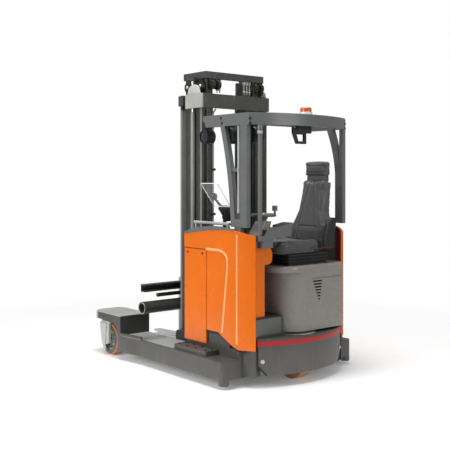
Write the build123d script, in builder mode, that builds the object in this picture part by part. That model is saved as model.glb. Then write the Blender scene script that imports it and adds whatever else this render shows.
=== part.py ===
"""Four-way reach truck. Millimetres, +X to the fork tips, +Y to the truck's left, +Z up, floor at Z = 0."""
import os
from math import cos, radians, sin

from build123d import *

os.makedirs("parts", exist_ok=True)

# Driving dimensions: mast width, then the wheel arms and load wheel housings outside it
MAST_HALF_Y = 390
CHEEK_T = 46
ARM_REAR_X = -1050
ARM_KINK_X = 120
ARM_IN_Y = MAST_HALF_Y + CHEEK_T + 32
ARM_OUT_Y = ARM_IN_Y + 285
ARM_BOTTOM_Z, ARM_TOP_Z = 75, 223
HOUSING_REAR_X, HOUSING_FRONT_X = 404, 900
HOUSING_OUT_Y = ARM_OUT_Y + 38
PLATFORM_TOP_Z, PLATFORM_T = 404, 70
GROOVE_Z, GROOVE_H, GROOVE_DEPTH = 155, 92, 64

# Driving dimensions: wheels
LOAD_X, LOAD_Y = 672, HOUSING_OUT_Y - 116
LOAD_R, LOAD_W, LOAD_HUB_R = 150, 140, 104
DRIVE_X = -1080
DRIVE_R, DRIVE_W, DRIVE_HUB_R = 180, 120, 125

# Driving dimensions: cab, battery and guard
CAB_FRONT_X, CAB_HALF_Y = -340, 606
HATCH_REAR_X = -644
PANEL_T = 22
PANEL_BOTTOM_Z, PANEL_TOP_Z = 302, 1240
DECK_Z, DECK_T = 395, 20
FLOOR_Z = 560
SKIRT_END_X, SKIRT_MID_X, SKIRT_HALF_Y = -1165, -1300, CAB_HALF_Y - 116
GUARD_REAR_X, GUARD_FRONT_X = -1118, -549
GUARD_HALF_Y = CAB_HALF_Y - 42
GUARD_TOP_Z, GUARD_BEAM_H = 2210, 98
SEAT_X, SEAT_BACK_Y, SEAT_LEAN = -1000, 398 - CAB_HALF_Y, 10

# Driving dimensions: mast rails as (outer web face Y, web thickness, tip Y, rear X, front X, flange
# thickness)
OUTER_RAIL = (MAST_HALF_Y - 43, 15, MAST_HALF_Y - 128, -310, 10, 25)
MIDDLE_RAIL = (MAST_HALF_Y - 68, 14, MAST_HALF_Y - 142, -275, -25, 20)
INNER_RAIL = (MAST_HALF_Y - 92, 14, MAST_HALF_Y - 175, -245, -55, 18)
OUTER_RAIL_Z = (110, 2441)
MIDDLE_RAIL_Z = (130, 2600)
INNER_RAIL_Z = (150, 2590)
CROSSHEAD_Z = (2312, 2441)
CROSSBAR_Z = (2578, 2641)

# Driving dimensions: lift carriage, fork frame and forks
TILT_X, TILT_Z = 75, 612
TUBE_X, TUBE_Z, TUBE_R, TUBE_WALL = 95, 516, 54.5, 9
FRAME_HALF_Y = 759
CHANNEL_Z = (662, 729)
FORK_Y, FORK_W, FORK_T = 225, 100, 40
FORK_BOTTOM_Z, FORK_TIP_X, FORK_SHANK_X = 30, 1300, 156

# Heights of the mast's wear pads
PAD_Z = (200, 2180)

# Clearances
PIN_FIT = 0.05
SEAT_GAP = 0.3
RUN_GAP = 8

SIDES = (("left", 1), ("right", -1))


def span_box(x0, x1, y0, y1, z0, z1, mode=Mode.ADD):
    """A block between two corners, added to the open part."""
    with Locations(((x0 + x1) / 2, (y0 + y1) / 2, (z0 + z1) / 2)):
        Box(abs(x1 - x0), abs(y1 - y0), abs(z1 - z0), mode=mode)


def y_cylinder(x, y0, y1, z, radius, mode=Mode.ADD):
    """A round bar along Y, added to the open part."""
    with Locations(Location((x, (y0 + y1) / 2, z), (90, 0, 0))):
        Cylinder(radius, abs(y1 - y0), mode=mode)


def z_cylinder(x, y, z0, z1, radius, mode=Mode.ADD):
    """An upright round bar, added to the open part."""
    with Locations((x, y, (z0 + z1) / 2)):
        Cylinder(radius, z1 - z0, mode=mode)


def save(builder, node):
    """Label a finished piece and write it as one STEP file."""
    builder.part.label = node
    export_step(builder.part, f"parts/{node}.step")


# Chassis: two wheel arms, the deck under the driver and the side plates that carry the cab
with BuildPart() as chassis_frame:
    for side in (1, -1):
        with BuildSketch(Plane.XY.offset(ARM_BOTTOM_Z)):
            with BuildLine():
                Polyline(
                    (ARM_REAR_X + 40, side * ARM_IN_Y),
                    (HOUSING_REAR_X, side * ARM_IN_Y),
                    (HOUSING_REAR_X, side * HOUSING_OUT_Y),
                    (ARM_KINK_X, side * ARM_OUT_Y),
                    (ARM_REAR_X + 40, side * ARM_OUT_Y),
                    close=True,
                )
            make_face()
        extrude(amount=ARM_TOP_Z - ARM_BOTTOM_Z)
        # Raised edge along the flared front of the arm
        with BuildSketch(Plane.XY.offset(ARM_TOP_Z)):
            with BuildLine():
                Polyline(
                    (ARM_KINK_X, side * ARM_OUT_Y),
                    (HOUSING_REAR_X, side * HOUSING_OUT_Y),
                    (HOUSING_REAR_X, side * (HOUSING_OUT_Y - 16)),
                    (ARM_KINK_X, side * (ARM_OUT_Y - 16)),
                    close=True,
                )
            make_face()
        extrude(amount=26)
        # Rounded rear corner column with its guide foot
        z_cylinder(ARM_REAR_X + 42, side * (ARM_OUT_Y - 42), 30, ARM_TOP_Z, 42)
        span_box(ARM_REAR_X, ARM_REAR_X + 60, side * ARM_IN_Y, side * (ARM_OUT_Y - 42), ARM_BOTTOM_Z,
                 ARM_TOP_Z)
        # Rear corner block that carries the skirt
        with BuildSketch(Plane.XY.offset(ARM_BOTTOM_Z + 10)):
            with BuildLine():
                Polyline(
                    (ARM_REAR_X + 1, side * (CAB_HALF_Y - 60)),
                    (SKIRT_END_X + 5, side * (SKIRT_HALF_Y + 22)),
                    (SKIRT_END_X + 5, side * (SKIRT_HALF_Y + 7)),
                    (SKIRT_END_X + 31, side * (SKIRT_HALF_Y + 7)),
                    (SKIRT_END_X + 31, side * (SKIRT_HALF_Y - 60)),
                    (ARM_REAR_X + 1, side * (SKIRT_HALF_Y - 60)),
                    close=True,
                )
            make_face()
        extrude(amount=PANEL_BOTTOM_Z - ARM_BOTTOM_Z - 10 - SEAT_GAP)
        # Groove for the mast rollers
        span_box(-520, HOUSING_REAR_X - 20, side * (ARM_IN_Y - 1), side * (ARM_IN_Y + GROOVE_DEPTH),
                 GROOVE_Z - GROOVE_H / 2, GROOVE_Z + GROOVE_H / 2, mode=Mode.SUBTRACT)
        # Guide cover on the arm under the hatch, and the running plate ahead of it
        span_box(-790, -356, side * (ARM_OUT_Y - 157), side * (ARM_OUT_Y - 30), ARM_TOP_Z, ARM_TOP_Z + 42)
        span_box(-350, HOUSING_REAR_X, side * (ARM_IN_Y + 12), side * (ARM_OUT_Y - 18), ARM_TOP_Z,
                 ARM_TOP_Z + 3)
        # Side plate under the cab panel
        span_box(ARM_REAR_X, CAB_FRONT_X - 20, side * (CAB_HALF_Y - 46),
                 side * (CAB_HALF_Y - PANEL_T - SEAT_GAP),
                 ARM_TOP_Z, PANEL_BOTTOM_Z - SEAT_GAP)
        span_box(ARM_REAR_X, -660, side * (CAB_HALF_Y - 136), side * (CAB_HALF_Y - 46), ARM_TOP_Z, DECK_Z)
    # Battery tray between the arms and the deck over the drive unit
    span_box(-700, CAB_FRONT_X - 10, 46 - CAB_HALF_Y, CAB_HALF_Y - 46, ARM_TOP_Z, 255)
    span_box(-700, CAB_FRONT_X - 10, -ARM_IN_Y, ARM_IN_Y, 180, ARM_TOP_Z)
    span_box(ARM_REAR_X, -660, 66 - CAB_HALF_Y, CAB_HALF_Y - 66, DECK_Z, DECK_Z + DECK_T)
    span_box(-1150, ARM_REAR_X, 112 - CAB_HALF_Y, CAB_HALF_Y - 112, DECK_Z, DECK_Z + DECK_T)
    span_box(-700, -660, 66 - CAB_HALF_Y, CAB_HALF_Y - 66, 180, DECK_Z)
    z_cylinder(DRIVE_X, 0, DECK_Z - 1, DECK_Z + DECK_T + 1, 98, mode=Mode.SUBTRACT)
save(chassis_frame, "chassis_frame")

# Load wheel housings: platform, rear wall and the two columns beside the wheel
YOKE_TOP_Z = PLATFORM_TOP_Z - PLATFORM_T
COLUMN_X = HOUSING_REAR_X + 40
for name, side in SIDES:
    with BuildPart() as housing:
        mid_y = side * (ARM_IN_Y + HOUSING_OUT_Y) / 2
        with BuildSketch(Plane.XY.offset(YOKE_TOP_Z)):
            with Locations(((HOUSING_REAR_X + HOUSING_FRONT_X) / 2, mid_y)):
                Rectangle(HOUSING_FRONT_X - HOUSING_REAR_X, HOUSING_OUT_Y - ARM_IN_Y)
        extrude(amount=PLATFORM_T)
        fillet(housing.edges().filter_by(Axis.Z).group_by(Axis.X)[-1], 95)
        fillet(housing.faces().sort_by(Axis.Z)[-1].edges(), 10)
        span_box(HOUSING_REAR_X, HOUSING_REAR_X + 15, side * ARM_IN_Y, side * HOUSING_OUT_Y,
                 ARM_BOTTOM_Z, PLATFORM_TOP_Z - 12)
        for face_y in (ARM_IN_Y, HOUSING_OUT_Y - 16):
            with BuildSketch(Plane.XZ.offset(-side * face_y)):
                with BuildLine():
                    Polyline((HOUSING_REAR_X, ARM_BOTTOM_Z), (COLUMN_X, ARM_BOTTOM_Z),
                             (COLUMN_X + 8, LOAD_R + 75))
                    RadiusArc((COLUMN_X + 8, LOAD_R + 75), (COLUMN_X + 110, YOKE_TOP_Z), 130)
                    Polyline((COLUMN_X + 110, YOKE_TOP_Z), (COLUMN_X + 110, YOKE_TOP_Z + 16),
                             (HOUSING_REAR_X, YOKE_TOP_Z + 16), (HOUSING_REAR_X, ARM_BOTTOM_Z))
                make_face()
            extrude(amount=-side * 16)
        z_cylinder(LOAD_X, side * LOAD_Y, YOKE_TOP_Z - 1, PLATFORM_TOP_Z - 8, 30 + PIN_FIT,
                   mode=Mode.SUBTRACT)
    save(housing, f"wheel_housing_{name}")

# Load wheels: a yoke on an upright pin, a hub on the yoke's axle and a polyurethane tyre
YOKE_PLATE_T = 24
YOKE_IN = LOAD_W / 2 + RUN_GAP
YOKE_OUT = YOKE_IN + YOKE_PLATE_T
for name, side in SIDES:
    wheel_y = side * LOAD_Y
    with BuildPart() as yoke:
        z_cylinder(LOAD_X, wheel_y, YOKE_TOP_Z - SEAT_GAP, PLATFORM_TOP_Z - 12, 30)
        z_cylinder(LOAD_X, wheel_y, YOKE_TOP_Z - 12, YOKE_TOP_Z - SEAT_GAP, 78)
        span_box(LOAD_X - 56, LOAD_X + 104, wheel_y - YOKE_OUT, wheel_y + YOKE_OUT, LOAD_R * 2 + 6,
                 YOKE_TOP_Z - 12)
        fillet(yoke.edges().filter_by(Axis.Z).group_by(Axis.X)[-1], 30)
        # Tapered legs that lean back from the top to the axle
        for leg in (1, -1):
            with BuildSketch(Plane.XZ.offset(-wheel_y - leg * YOKE_IN)):
                with BuildLine():
                    Line((LOAD_X - 40, LOAD_R * 2 + 12), (LOAD_X + 100, LOAD_R * 2 + 12))
                    Line((LOAD_X + 100, LOAD_R * 2 + 12), (LOAD_X + 42, LOAD_R - 14))
                    ThreePointArc((LOAD_X + 42, LOAD_R - 14), (LOAD_X, LOAD_R - 46),
                                  (LOAD_X - 42, LOAD_R - 14))
                    Line((LOAD_X - 42, LOAD_R - 14), (LOAD_X - 40, LOAD_R * 2 + 12))
                make_face()
            extrude(amount=-leg * YOKE_PLATE_T)
        y_cylinder(LOAD_X, wheel_y - YOKE_IN, wheel_y + YOKE_IN, LOAD_R, 20)
    save(yoke, f"load_yoke_{name}")
    with BuildPart() as load_hub:
        y_cylinder(LOAD_X, wheel_y - LOAD_W / 2 + 8, wheel_y + LOAD_W / 2 - 8, LOAD_R, LOAD_HUB_R)
        for face in (1, -1):
            with BuildSketch(Plane.XZ.offset(-wheel_y - face * (LOAD_W / 2 - 8))):
                with Locations((LOAD_X, LOAD_R)):
                    Circle(LOAD_HUB_R - 14)
                    Circle(46, mode=Mode.SUBTRACT)
            extrude(amount=face * 34, mode=Mode.SUBTRACT)
        y_cylinder(LOAD_X, wheel_y - LOAD_W / 2, wheel_y + LOAD_W / 2, LOAD_R, 20 + PIN_FIT,
                   mode=Mode.SUBTRACT)
    save(load_hub, f"load_hub_{name}")
    with BuildPart() as load_tyre:
        with BuildSketch(Plane.XY.offset(LOAD_R)):
            with Locations((LOAD_X + (LOAD_HUB_R + LOAD_R) / 2, wheel_y)):
                RectangleRounded(LOAD_R - LOAD_HUB_R, LOAD_W, 9)
        revolve(axis=Axis((LOAD_X, wheel_y, LOAD_R), (0, 1, 0)))
    save(load_tyre, f"load_tyre_{name}")

# Drive unit: turntable, motor and gearbox leg, with the drive wheel on its stub axle
GEAR_Y = DRIVE_W / 2 + RUN_GAP
with BuildPart() as drive_unit:
    z_cylinder(DRIVE_X, 0, DRIVE_R * 2 + 10, DECK_Z - SEAT_GAP, 180)
    z_cylinder(DRIVE_X, 0, DECK_Z - SEAT_GAP, 700, 90)
    span_box(DRIVE_X - 85, DRIVE_X + 85, -GEAR_Y - 80, -GEAR_Y, 95, DRIVE_R * 2 + 10)
    fillet(drive_unit.edges().filter_by(Axis.Y).group_by(Axis.Z)[0], 70)
    y_cylinder(DRIVE_X, -GEAR_Y, DRIVE_W / 2, DRIVE_R, 35)
save(drive_unit, "drive_unit")
with BuildPart() as drive_hub:
    y_cylinder(DRIVE_X, -DRIVE_W / 2 + 6, DRIVE_W / 2 - 6, DRIVE_R, DRIVE_HUB_R)
    with BuildSketch(Plane.XZ.offset(-DRIVE_W / 2 + 6)):
        with Locations((DRIVE_X, DRIVE_R)):
            Circle(DRIVE_HUB_R - 18)
            Circle(62, mode=Mode.SUBTRACT)
    extrude(amount=40, mode=Mode.SUBTRACT)
    y_cylinder(DRIVE_X, -DRIVE_W, DRIVE_W, DRIVE_R, 35 + PIN_FIT, mode=Mode.SUBTRACT)
save(drive_hub, "drive_hub")
with BuildPart() as drive_tyre:
    with BuildSketch(Plane.XY.offset(DRIVE_R)):
        with Locations((DRIVE_X + (DRIVE_HUB_R + DRIVE_R) / 2, 0)):
            RectangleRounded(DRIVE_R - DRIVE_HUB_R, DRIVE_W, 10)
    revolve(axis=Axis((DRIVE_X, 0, DRIVE_R), (0, 1, 0)))
save(drive_tyre, "drive_tyre")


def rear_band(offset, thickness, half_y, z0, z1):
    """A wall that follows the bowed rear of the truck, added to the open part."""
    end_x = SKIRT_END_X - offset
    mid_x = SKIRT_MID_X - offset
    with BuildSketch(Plane.XY.offset(z0)) as band:
        with BuildLine():
            ThreePointArc((end_x, -half_y), (mid_x, 0), (end_x, half_y))
            Line((end_x, half_y), (end_x + thickness, half_y))
            ThreePointArc((end_x + thickness, half_y), (mid_x + thickness, 0), (end_x + thickness, -half_y))
            Line((end_x + thickness, -half_y), (end_x, -half_y))
        make_face()
    extrude(band.sketch, amount=z1 - z0)


# Rear skirt with cut lower corners, and the red stripe above it
SKIRT_Z = (97, 335)
with BuildPart() as rear_skirt:
    rear_band(-6, 16, SKIRT_HALF_Y, *SKIRT_Z)
    for side in (1, -1):
        with BuildSketch(Plane.YZ.offset(SKIRT_MID_X - 20)):
            with BuildLine():
                Polyline((side * (SKIRT_HALF_Y - 72), SKIRT_Z[0] - 1),
                         (side * (SKIRT_HALF_Y + 40), SKIRT_Z[0] + 130),
                         (side * (SKIRT_HALF_Y + 40), SKIRT_Z[0] - 1), close=True)
            make_face()
        extrude(amount=300, mode=Mode.SUBTRACT)
        # Brackets to the corner blocks
        span_box(SKIRT_END_X + 10, SKIRT_END_X + 31 - SEAT_GAP, side * (SKIRT_HALF_Y - 20),
                 side * (SKIRT_HALF_Y - 2),
                 240, 300)
save(rear_skirt, "rear_skirt")
with BuildPart() as red_stripe:
    rear_band(0, 20, SKIRT_HALF_Y, SKIRT_Z[1] + SEAT_GAP, DECK_Z - 18)
save(red_stripe, "red_stripe")
with BuildPart() as rear_step:
    rear_band(-2, 100, SKIRT_HALF_Y + 2, DECK_Z - 18, DECK_Z - SEAT_GAP)
    z_cylinder(DRIVE_X, 0, 300, DECK_Z + 10, 190, mode=Mode.SUBTRACT)
save(rear_step, "rear_step")

# Battery: one plain block behind the mast, with its lid
with BuildPart() as battery:
    span_box(-640, CAB_FRONT_X - 15, 58 - CAB_HALF_Y, CAB_HALF_Y - 58, 255 + SEAT_GAP, 1040)
save(battery, "battery")
with BuildPart() as battery_lid:
    span_box(-652, CAB_FRONT_X - 14, 31 - CAB_HALF_Y, CAB_HALF_Y - 31, 1100, 1150)
    span_box(-652, -640 - SEAT_GAP, 66 - CAB_HALF_Y, CAB_HALF_Y - 66, DECK_Z + DECK_T, 1100)
    fillet(battery_lid.faces().sort_by(Axis.Z)[-1].edges(), 14)
save(battery_lid, "battery_lid")

# Side panels that bend round towards the rear; the left one leaves room for the flat battery hatch
PANEL_BEND_X, PANEL_R, PANEL_SWEEP = -930, 358, 42
PANEL_REAR_X = ARM_REAR_X - 140
PANEL_ARCH = 32
HATCH_Z = (292, 1082)
SILL_Z = 412


def bend_point(radius, angle, side):
    """A point on a side panel's rear bend, in plan."""
    return (PANEL_BEND_X - radius * sin(radians(angle)),
            side * (CAB_HALF_Y - PANEL_R + radius * cos(radians(angle))))


for name, side in SIDES:
    face_y = side * CAB_HALF_Y
    inner_y = side * (CAB_HALF_Y - PANEL_T)
    with BuildPart() as side_panel:
        with BuildSketch(Plane.XY.offset(PANEL_BOTTOM_Z)):
            with BuildLine():
                Polyline((PANEL_BEND_X, inner_y), (CAB_FRONT_X, inner_y), (CAB_FRONT_X, face_y),
                         (PANEL_BEND_X, face_y))
                ThreePointArc((PANEL_BEND_X, face_y), bend_point(PANEL_R, PANEL_SWEEP / 2, side),
                              bend_point(PANEL_R, PANEL_SWEEP, side))
                Line(bend_point(PANEL_R, PANEL_SWEEP, side), bend_point(PANEL_R - PANEL_T, PANEL_SWEEP,
                                                                        side))
                ThreePointArc(bend_point(PANEL_R - PANEL_T, PANEL_SWEEP, side),
                              bend_point(PANEL_R - PANEL_T, PANEL_SWEEP / 2, side), (PANEL_BEND_X, inner_y))
            make_face()
        extrude(amount=PANEL_TOP_Z + PANEL_ARCH - PANEL_BOTTOM_Z)
        # Arched top edge
        with BuildSketch(Plane.XZ.offset(-face_y - side * 10)):
            with BuildLine():
                ThreePointArc((PANEL_REAR_X - 10, PANEL_TOP_Z - 34), (-920, PANEL_TOP_Z + PANEL_ARCH),
                              (CAB_FRONT_X + 10, PANEL_TOP_Z - 26))
                Polyline((CAB_FRONT_X + 10, PANEL_TOP_Z - 26), (CAB_FRONT_X + 10, PANEL_TOP_Z + 80),
                         (PANEL_REAR_X - 10, PANEL_TOP_Z + 80), (PANEL_REAR_X - 10, PANEL_TOP_Z - 34))
            make_face()
        extrude(amount=side * 260, mode=Mode.SUBTRACT)
        if name == "left":
            # Opening for the hatch, the lower edge that climbs towards it and the shallow moulded recess
            # behind it
            span_box(HATCH_REAR_X - 4, CAB_FRONT_X + 1, inner_y - 20, face_y + 10, 200, HATCH_Z[1] + 6,
                     mode=Mode.SUBTRACT)
            with BuildSketch(Plane.XZ.offset(-face_y - 10)):
                with BuildLine():
                    Polyline((-1040, PANEL_BOTTOM_Z - 1), (-800, SILL_Z), (HATCH_REAR_X, SILL_Z),
                             (HATCH_REAR_X, PANEL_BOTTOM_Z - 1), close=True)
                make_face()
            extrude(amount=60, mode=Mode.SUBTRACT)
            with BuildSketch(Plane.XZ.offset(-face_y - 1)) as recess:
                with BuildLine():
                    Polyline((HATCH_REAR_X, HATCH_Z[1] + 6), (-852, HATCH_Z[1] + 8),
                             (-926, HATCH_Z[1] - 40),
                             (-926, 960), (-852, SILL_Z - 10), (HATCH_REAR_X, SILL_Z - 10), close=True)
                make_face()
                fillet(recess.vertices().group_by(Axis.X)[0], 40)
            extrude(amount=7, mode=Mode.SUBTRACT)
    save(side_panel, f"side_panel_{name}")
with BuildPart() as battery_hatch:
    span_box(HATCH_REAR_X, CAB_FRONT_X, CAB_HALF_Y - PANEL_T, CAB_HALF_Y, *HATCH_Z)
    fillet(battery_hatch.faces().sort_by(Axis.Y)[-1].edges(), 8)
    # Two grip slots near the top
    for slot_x in (HATCH_REAR_X + 50, CAB_FRONT_X - 50):
        with Locations((slot_x, CAB_HALF_Y - PANEL_T / 2, HATCH_Z[1] - 34)):
            Box(26, 40, 14, mode=Mode.SUBTRACT)
save(battery_hatch, "battery_hatch")
with BuildPart() as sill_plates:
    for side in (1, -1):
        with BuildSketch(Plane.XZ.offset(-side * (CAB_HALF_Y - PANEL_T - SEAT_GAP))):
            with BuildLine():
                Polyline((PANEL_BEND_X, PANEL_BOTTOM_Z - SEAT_GAP), (PANEL_BEND_X, SILL_Z - 44),
                         (-800, SILL_Z + 18),
                         (HATCH_REAR_X - 6, SILL_Z + 18), (HATCH_REAR_X - 6, PANEL_BOTTOM_Z - SEAT_GAP),
                         close=True)
            make_face()
        extrude(amount=side * 14)
save(sill_plates, "sill_plates")

# Driver's place: raised footwell, seat base with its overhanging lid and vent
FOOT_Y = (CAB_HALF_Y - 391, CAB_HALF_Y - 112)
with BuildPart() as footwell:
    span_box(-1150, -655, *FOOT_Y, FLOOR_Z - 14, FLOOR_Z)
    span_box(-1150, -1136, *FOOT_Y, DECK_Z + DECK_T, FLOOR_Z)
    span_box(-668, -655, *FOOT_Y, DECK_Z + DECK_T, 1090)
    fillet(footwell.edges().filter_by(Axis.Y).group_by(Axis.X)[0].sort_by(Axis.Z)[-1], 12)
save(footwell, "footwell")
BASE_X, BASE_Y, BASE_Z = (-1240, -690), (125 - CAB_HALF_Y, CAB_HALF_Y - 401), (DECK_Z + DECK_T, 960)
BASE_LID_Z = BASE_Z[1] - 55
# Plan of each layer as (inset, extra width on the left, left rear radius, bottom Z, top Z, mode)
BASE_LAYERS = (
    (0, 0, 190, BASE_Z[0], BASE_LID_Z, Mode.ADD),
    (0, 70, 180, BASE_LID_Z, BASE_Z[1], Mode.ADD),
    (16, 0, 174, BASE_Z[0] - 1, BASE_LID_Z - 18, Mode.SUBTRACT),
)
with BuildPart() as seat_base:
    for inset, extra, left_r, z0, z1, mode in BASE_LAYERS:
        x0, x1 = BASE_X[0] + inset, BASE_X[1] - inset
        y0, y1 = BASE_Y[0] + inset, BASE_Y[1] + extra - inset
        with BuildSketch(Plane.XY.offset(z0)) as plan:
            with Locations(((x0 + x1) / 2, (y0 + y1) / 2)):
                Rectangle(x1 - x0, y1 - y0)
            fillet(plan.vertices().group_by(Axis.X)[0].sort_by(Axis.Y)[-1], left_r)
            fillet(plan.vertices().group_by(Axis.X)[0].sort_by(Axis.Y)[0], 90 - inset)
        extrude(amount=z1 - z0, mode=mode)
    fillet(seat_base.faces().sort_by(Axis.Z)[-1].edges(), 24)
    # Long groove near the top of the rear face
    span_box(BASE_X[0] - 5, BASE_X[0] + 6, -400, -60, 842, 852, mode=Mode.SUBTRACT)
    # Triangular vent of seven louvres
    for row in range(7):
        half_y = 54 - 7 * row
        mid_y = -120 - 3 * row
        span_box(BASE_X[0] - 5, BASE_X[0] + 30, mid_y - half_y, mid_y + half_y, 814 - 25 * row,
                 826 - 25 * row,
                 mode=Mode.SUBTRACT)
save(seat_base, "seat_base")
BELLOWS_PLEATS = 4
BELLOWS_TOP_Z = 1064
with BuildPart() as seat_bellows:
    pleat_h = (BELLOWS_TOP_Z - BASE_Z[1]) / BELLOWS_PLEATS
    for pleat in range(BELLOWS_PLEATS):
        z0 = BASE_Z[1] + pleat * pleat_h
        span_box(SEAT_X - 190, SEAT_X + 190, SEAT_BACK_Y - 82, SEAT_BACK_Y + 378, z0, z0 + pleat_h / 2)
        span_box(SEAT_X - 176, SEAT_X + 176, SEAT_BACK_Y - 76, SEAT_BACK_Y + 364, z0 + pleat_h / 2,
                 z0 + pleat_h)
save(seat_bellows, "seat_bellows")

# Seat: cushion, leaning backrest and headrest as plain pads
with BuildPart() as seat_cushion:
    span_box(SEAT_X - 235, SEAT_X + 235, SEAT_BACK_Y + 14, SEAT_BACK_Y + 498, BELLOWS_TOP_Z + SEAT_GAP,
             1160)
    fillet(seat_cushion.edges().filter_by(Axis.Z), 80)
    fillet(seat_cushion.faces().sort_by(Axis.Z)[-1].edges(), 35)
save(seat_cushion, "seat_cushion")
with BuildPart() as seat_back:
    back_normal = (0, -cos(radians(SEAT_LEAN)), -sin(radians(SEAT_LEAN)))
    back_plane = Plane(origin=(SEAT_X, SEAT_BACK_Y, BELLOWS_TOP_Z + 36), x_dir=(1, 0, 0), z_dir=back_normal)
    with BuildSketch(back_plane) as outline:
        with BuildLine():
            Polyline((-215, 0), (215, 0), (215, 185), (160, 315), (138, 590), (-138, 590), (-160, 315),
                     (-215, 185),
                     close=True)
        make_face()
        fillet(outline.vertices(), 42)
    extrude(amount=110)
    fillet(seat_back.faces().filter_by(lambda face: face.normal_at().Y > 0.9).edges(), 30)
    span_box(SEAT_X - 90, SEAT_X + 90, SEAT_BACK_Y - 74, SEAT_BACK_Y - 30, BELLOWS_TOP_Z + SEAT_GAP, 1110)
save(seat_back, "seat_back")
with BuildPart() as headrest:
    span_box(SEAT_X - 132, SEAT_X + 132, SEAT_BACK_Y - 202, SEAT_BACK_Y - 117, 1696, 1834)
    fillet(headrest.edges(), 28)
    for stalk_x in (-60, 60):
        z_cylinder(SEAT_X + stalk_x, SEAT_BACK_Y - 160, 1672.8, 1720, 8)
save(headrest, "headrest")

# Steering: column with its knee bulge, cowling, wheel on its shaft and the armrest console
STEER_X, STEER_Y, STEER_Z, STEER_R = -1060, CAB_HALF_Y - 276, 1350, 105
COWL_Y, COWL_Z = CAB_HALF_Y - 186, 1120
with BuildPart() as steering_column:
    span_box(STEER_X - 70, STEER_X + 70, CAB_HALF_Y - 224, CAB_HALF_Y - 116, FLOOR_Z + SEAT_GAP,
             COWL_Z - SEAT_GAP)
    span_box(STEER_X - 70, STEER_X + 70, CAB_HALF_Y - 308, CAB_HALF_Y - 224, COWL_Z - 140,
             COWL_Z - SEAT_GAP)
    fillet(steering_column.edges().filter_by(Axis.X).group_by(Axis.Y)[0], 50)
save(steering_column, "steering_column")
with BuildPart() as steering_cowling:
    span_box(STEER_X - 75, STEER_X + 75, COWL_Y - 75, COWL_Y + 75, COWL_Z, COWL_Z + 54)
    fillet(steering_cowling.edges().filter_by(Axis.Z), 40)
    with BuildSketch(Plane.XY.offset(COWL_Z + 54)):
        with Locations((STEER_X, COWL_Y)):
            RectangleRounded(150, 150, 40)
    with BuildSketch(Plane.XY.offset(STEER_Z - 20)):
        with Locations((STEER_X, STEER_Y)):
            RectangleRounded(110, 110, 30)
    loft()
    z_cylinder(STEER_X, STEER_Y, STEER_Z - 20, STEER_Z - 4, 26)
save(steering_cowling, "steering_cowling")
with BuildPart() as steering_wheel:
    with Locations((STEER_X, STEER_Y, STEER_Z + 30)):
        Torus(STEER_R - 13, 13)
    z_cylinder(STEER_X, STEER_Y, STEER_Z - 4 + SEAT_GAP, STEER_Z + 36, 34)
    for spoke in (30, 150, 270):
        with Locations(Location((STEER_X, STEER_Y, STEER_Z + 26), (0, 0, spoke))):
            Box(STEER_R - 14, 24, 10, align=(Align.MIN, Align.CENTER, Align.CENTER))
    # Spinner knob
    z_cylinder(STEER_X - 65, STEER_Y - 65, STEER_Z + 34, STEER_Z + 100, 9)
    z_cylinder(STEER_X - 65, STEER_Y - 65, STEER_Z + 66, STEER_Z + 108, 22)
save(steering_wheel, "steering_wheel")
with BuildPart() as armrest_console:
    with BuildSketch(Plane.YZ.offset(-1200)):
        with BuildLine():
            Polyline((CAB_HALF_Y - 116, 1178), (CAB_HALF_Y - 116, 1222), (CAB_HALF_Y - 158, 1222),
                     (CAB_HALF_Y - 186, 1264),
                     (CAB_HALF_Y - 474, 1318), (CAB_HALF_Y - 456, 1212), close=True)
        make_face()
    extrude(amount=62)
    with BuildSketch(Plane.YZ.offset(-1139)):
        with BuildLine():
            Polyline((CAB_HALF_Y - 356, 1240), (CAB_HALF_Y - 356, 1297), (CAB_HALF_Y - 474, 1318),
                     (CAB_HALF_Y - 456, 1212),
                     close=True)
        make_face()
    extrude(amount=58)
    span_box(-1195, STEER_X - 75 - SEAT_GAP, COWL_Y - 70, COWL_Y + 40, COWL_Z, 1200)
save(armrest_console, "armrest_console")

# Dashboard over the battery on the left, with its rail, clear pane and display
with BuildPart() as dashboard:
    span_box(-940, -420, CAB_HALF_Y - 176, CAB_HALF_Y - 26, 1150, 1240)
    span_box(-660, -420, CAB_HALF_Y - 356, CAB_HALF_Y - 176, 1150, 1240)
    fillet(dashboard.edges().filter_by(Axis.Z), 18)
    for post_x in (-880, -450):
        z_cylinder(post_x, CAB_HALF_Y - 46, 1240, 1300, 11)
    with Locations(Location((-665, CAB_HALF_Y - 46, 1306), (0, 90, 0))):
        Cylinder(13, 470)
save(dashboard, "dashboard")
PANE_LEAN = 37
PANE_FOOT = (-672, CAB_HALF_Y - 156, 1440)
with BuildPart() as clear_pane:
    pane_normal = (0, -cos(radians(PANE_LEAN)), sin(radians(PANE_LEAN)))
    with BuildSketch(Plane(origin=PANE_FOOT, x_dir=(1, 0, 0), z_dir=pane_normal)):
        with Locations((0, 125)):
            RectangleRounded(225, 250, 12)
    extrude(amount=5)
save(clear_pane, "clear_pane")
with BuildPart() as control_display:
    display_h = 130
    drop = display_h / 2 + SEAT_GAP
    display_y = PANE_FOOT[1] - drop * sin(radians(PANE_LEAN))
    display_z = PANE_FOOT[2] - drop * cos(radians(PANE_LEAN))
    z_cylinder(-690, CAB_HALF_Y - 161, 1240, 1330, 12)
    span_box(-702, -678, CAB_HALF_Y - 226, CAB_HALF_Y - 161, 1316, 1330)
    with Locations(Location((-690, display_y, display_z), (-PANE_LEAN, 0, 0))):
        Box(120, 40, display_h)
    # Joystick with its boot and knob
    z_cylinder(-560, CAB_HALF_Y - 276, 1240, 1262, 45)
    z_cylinder(-560, CAB_HALF_Y - 276, 1262, 1330, 14)
    with Locations((-560, CAB_HALF_Y - 276, 1344)):
        Sphere(26)
save(control_display, "control_display")

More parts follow.
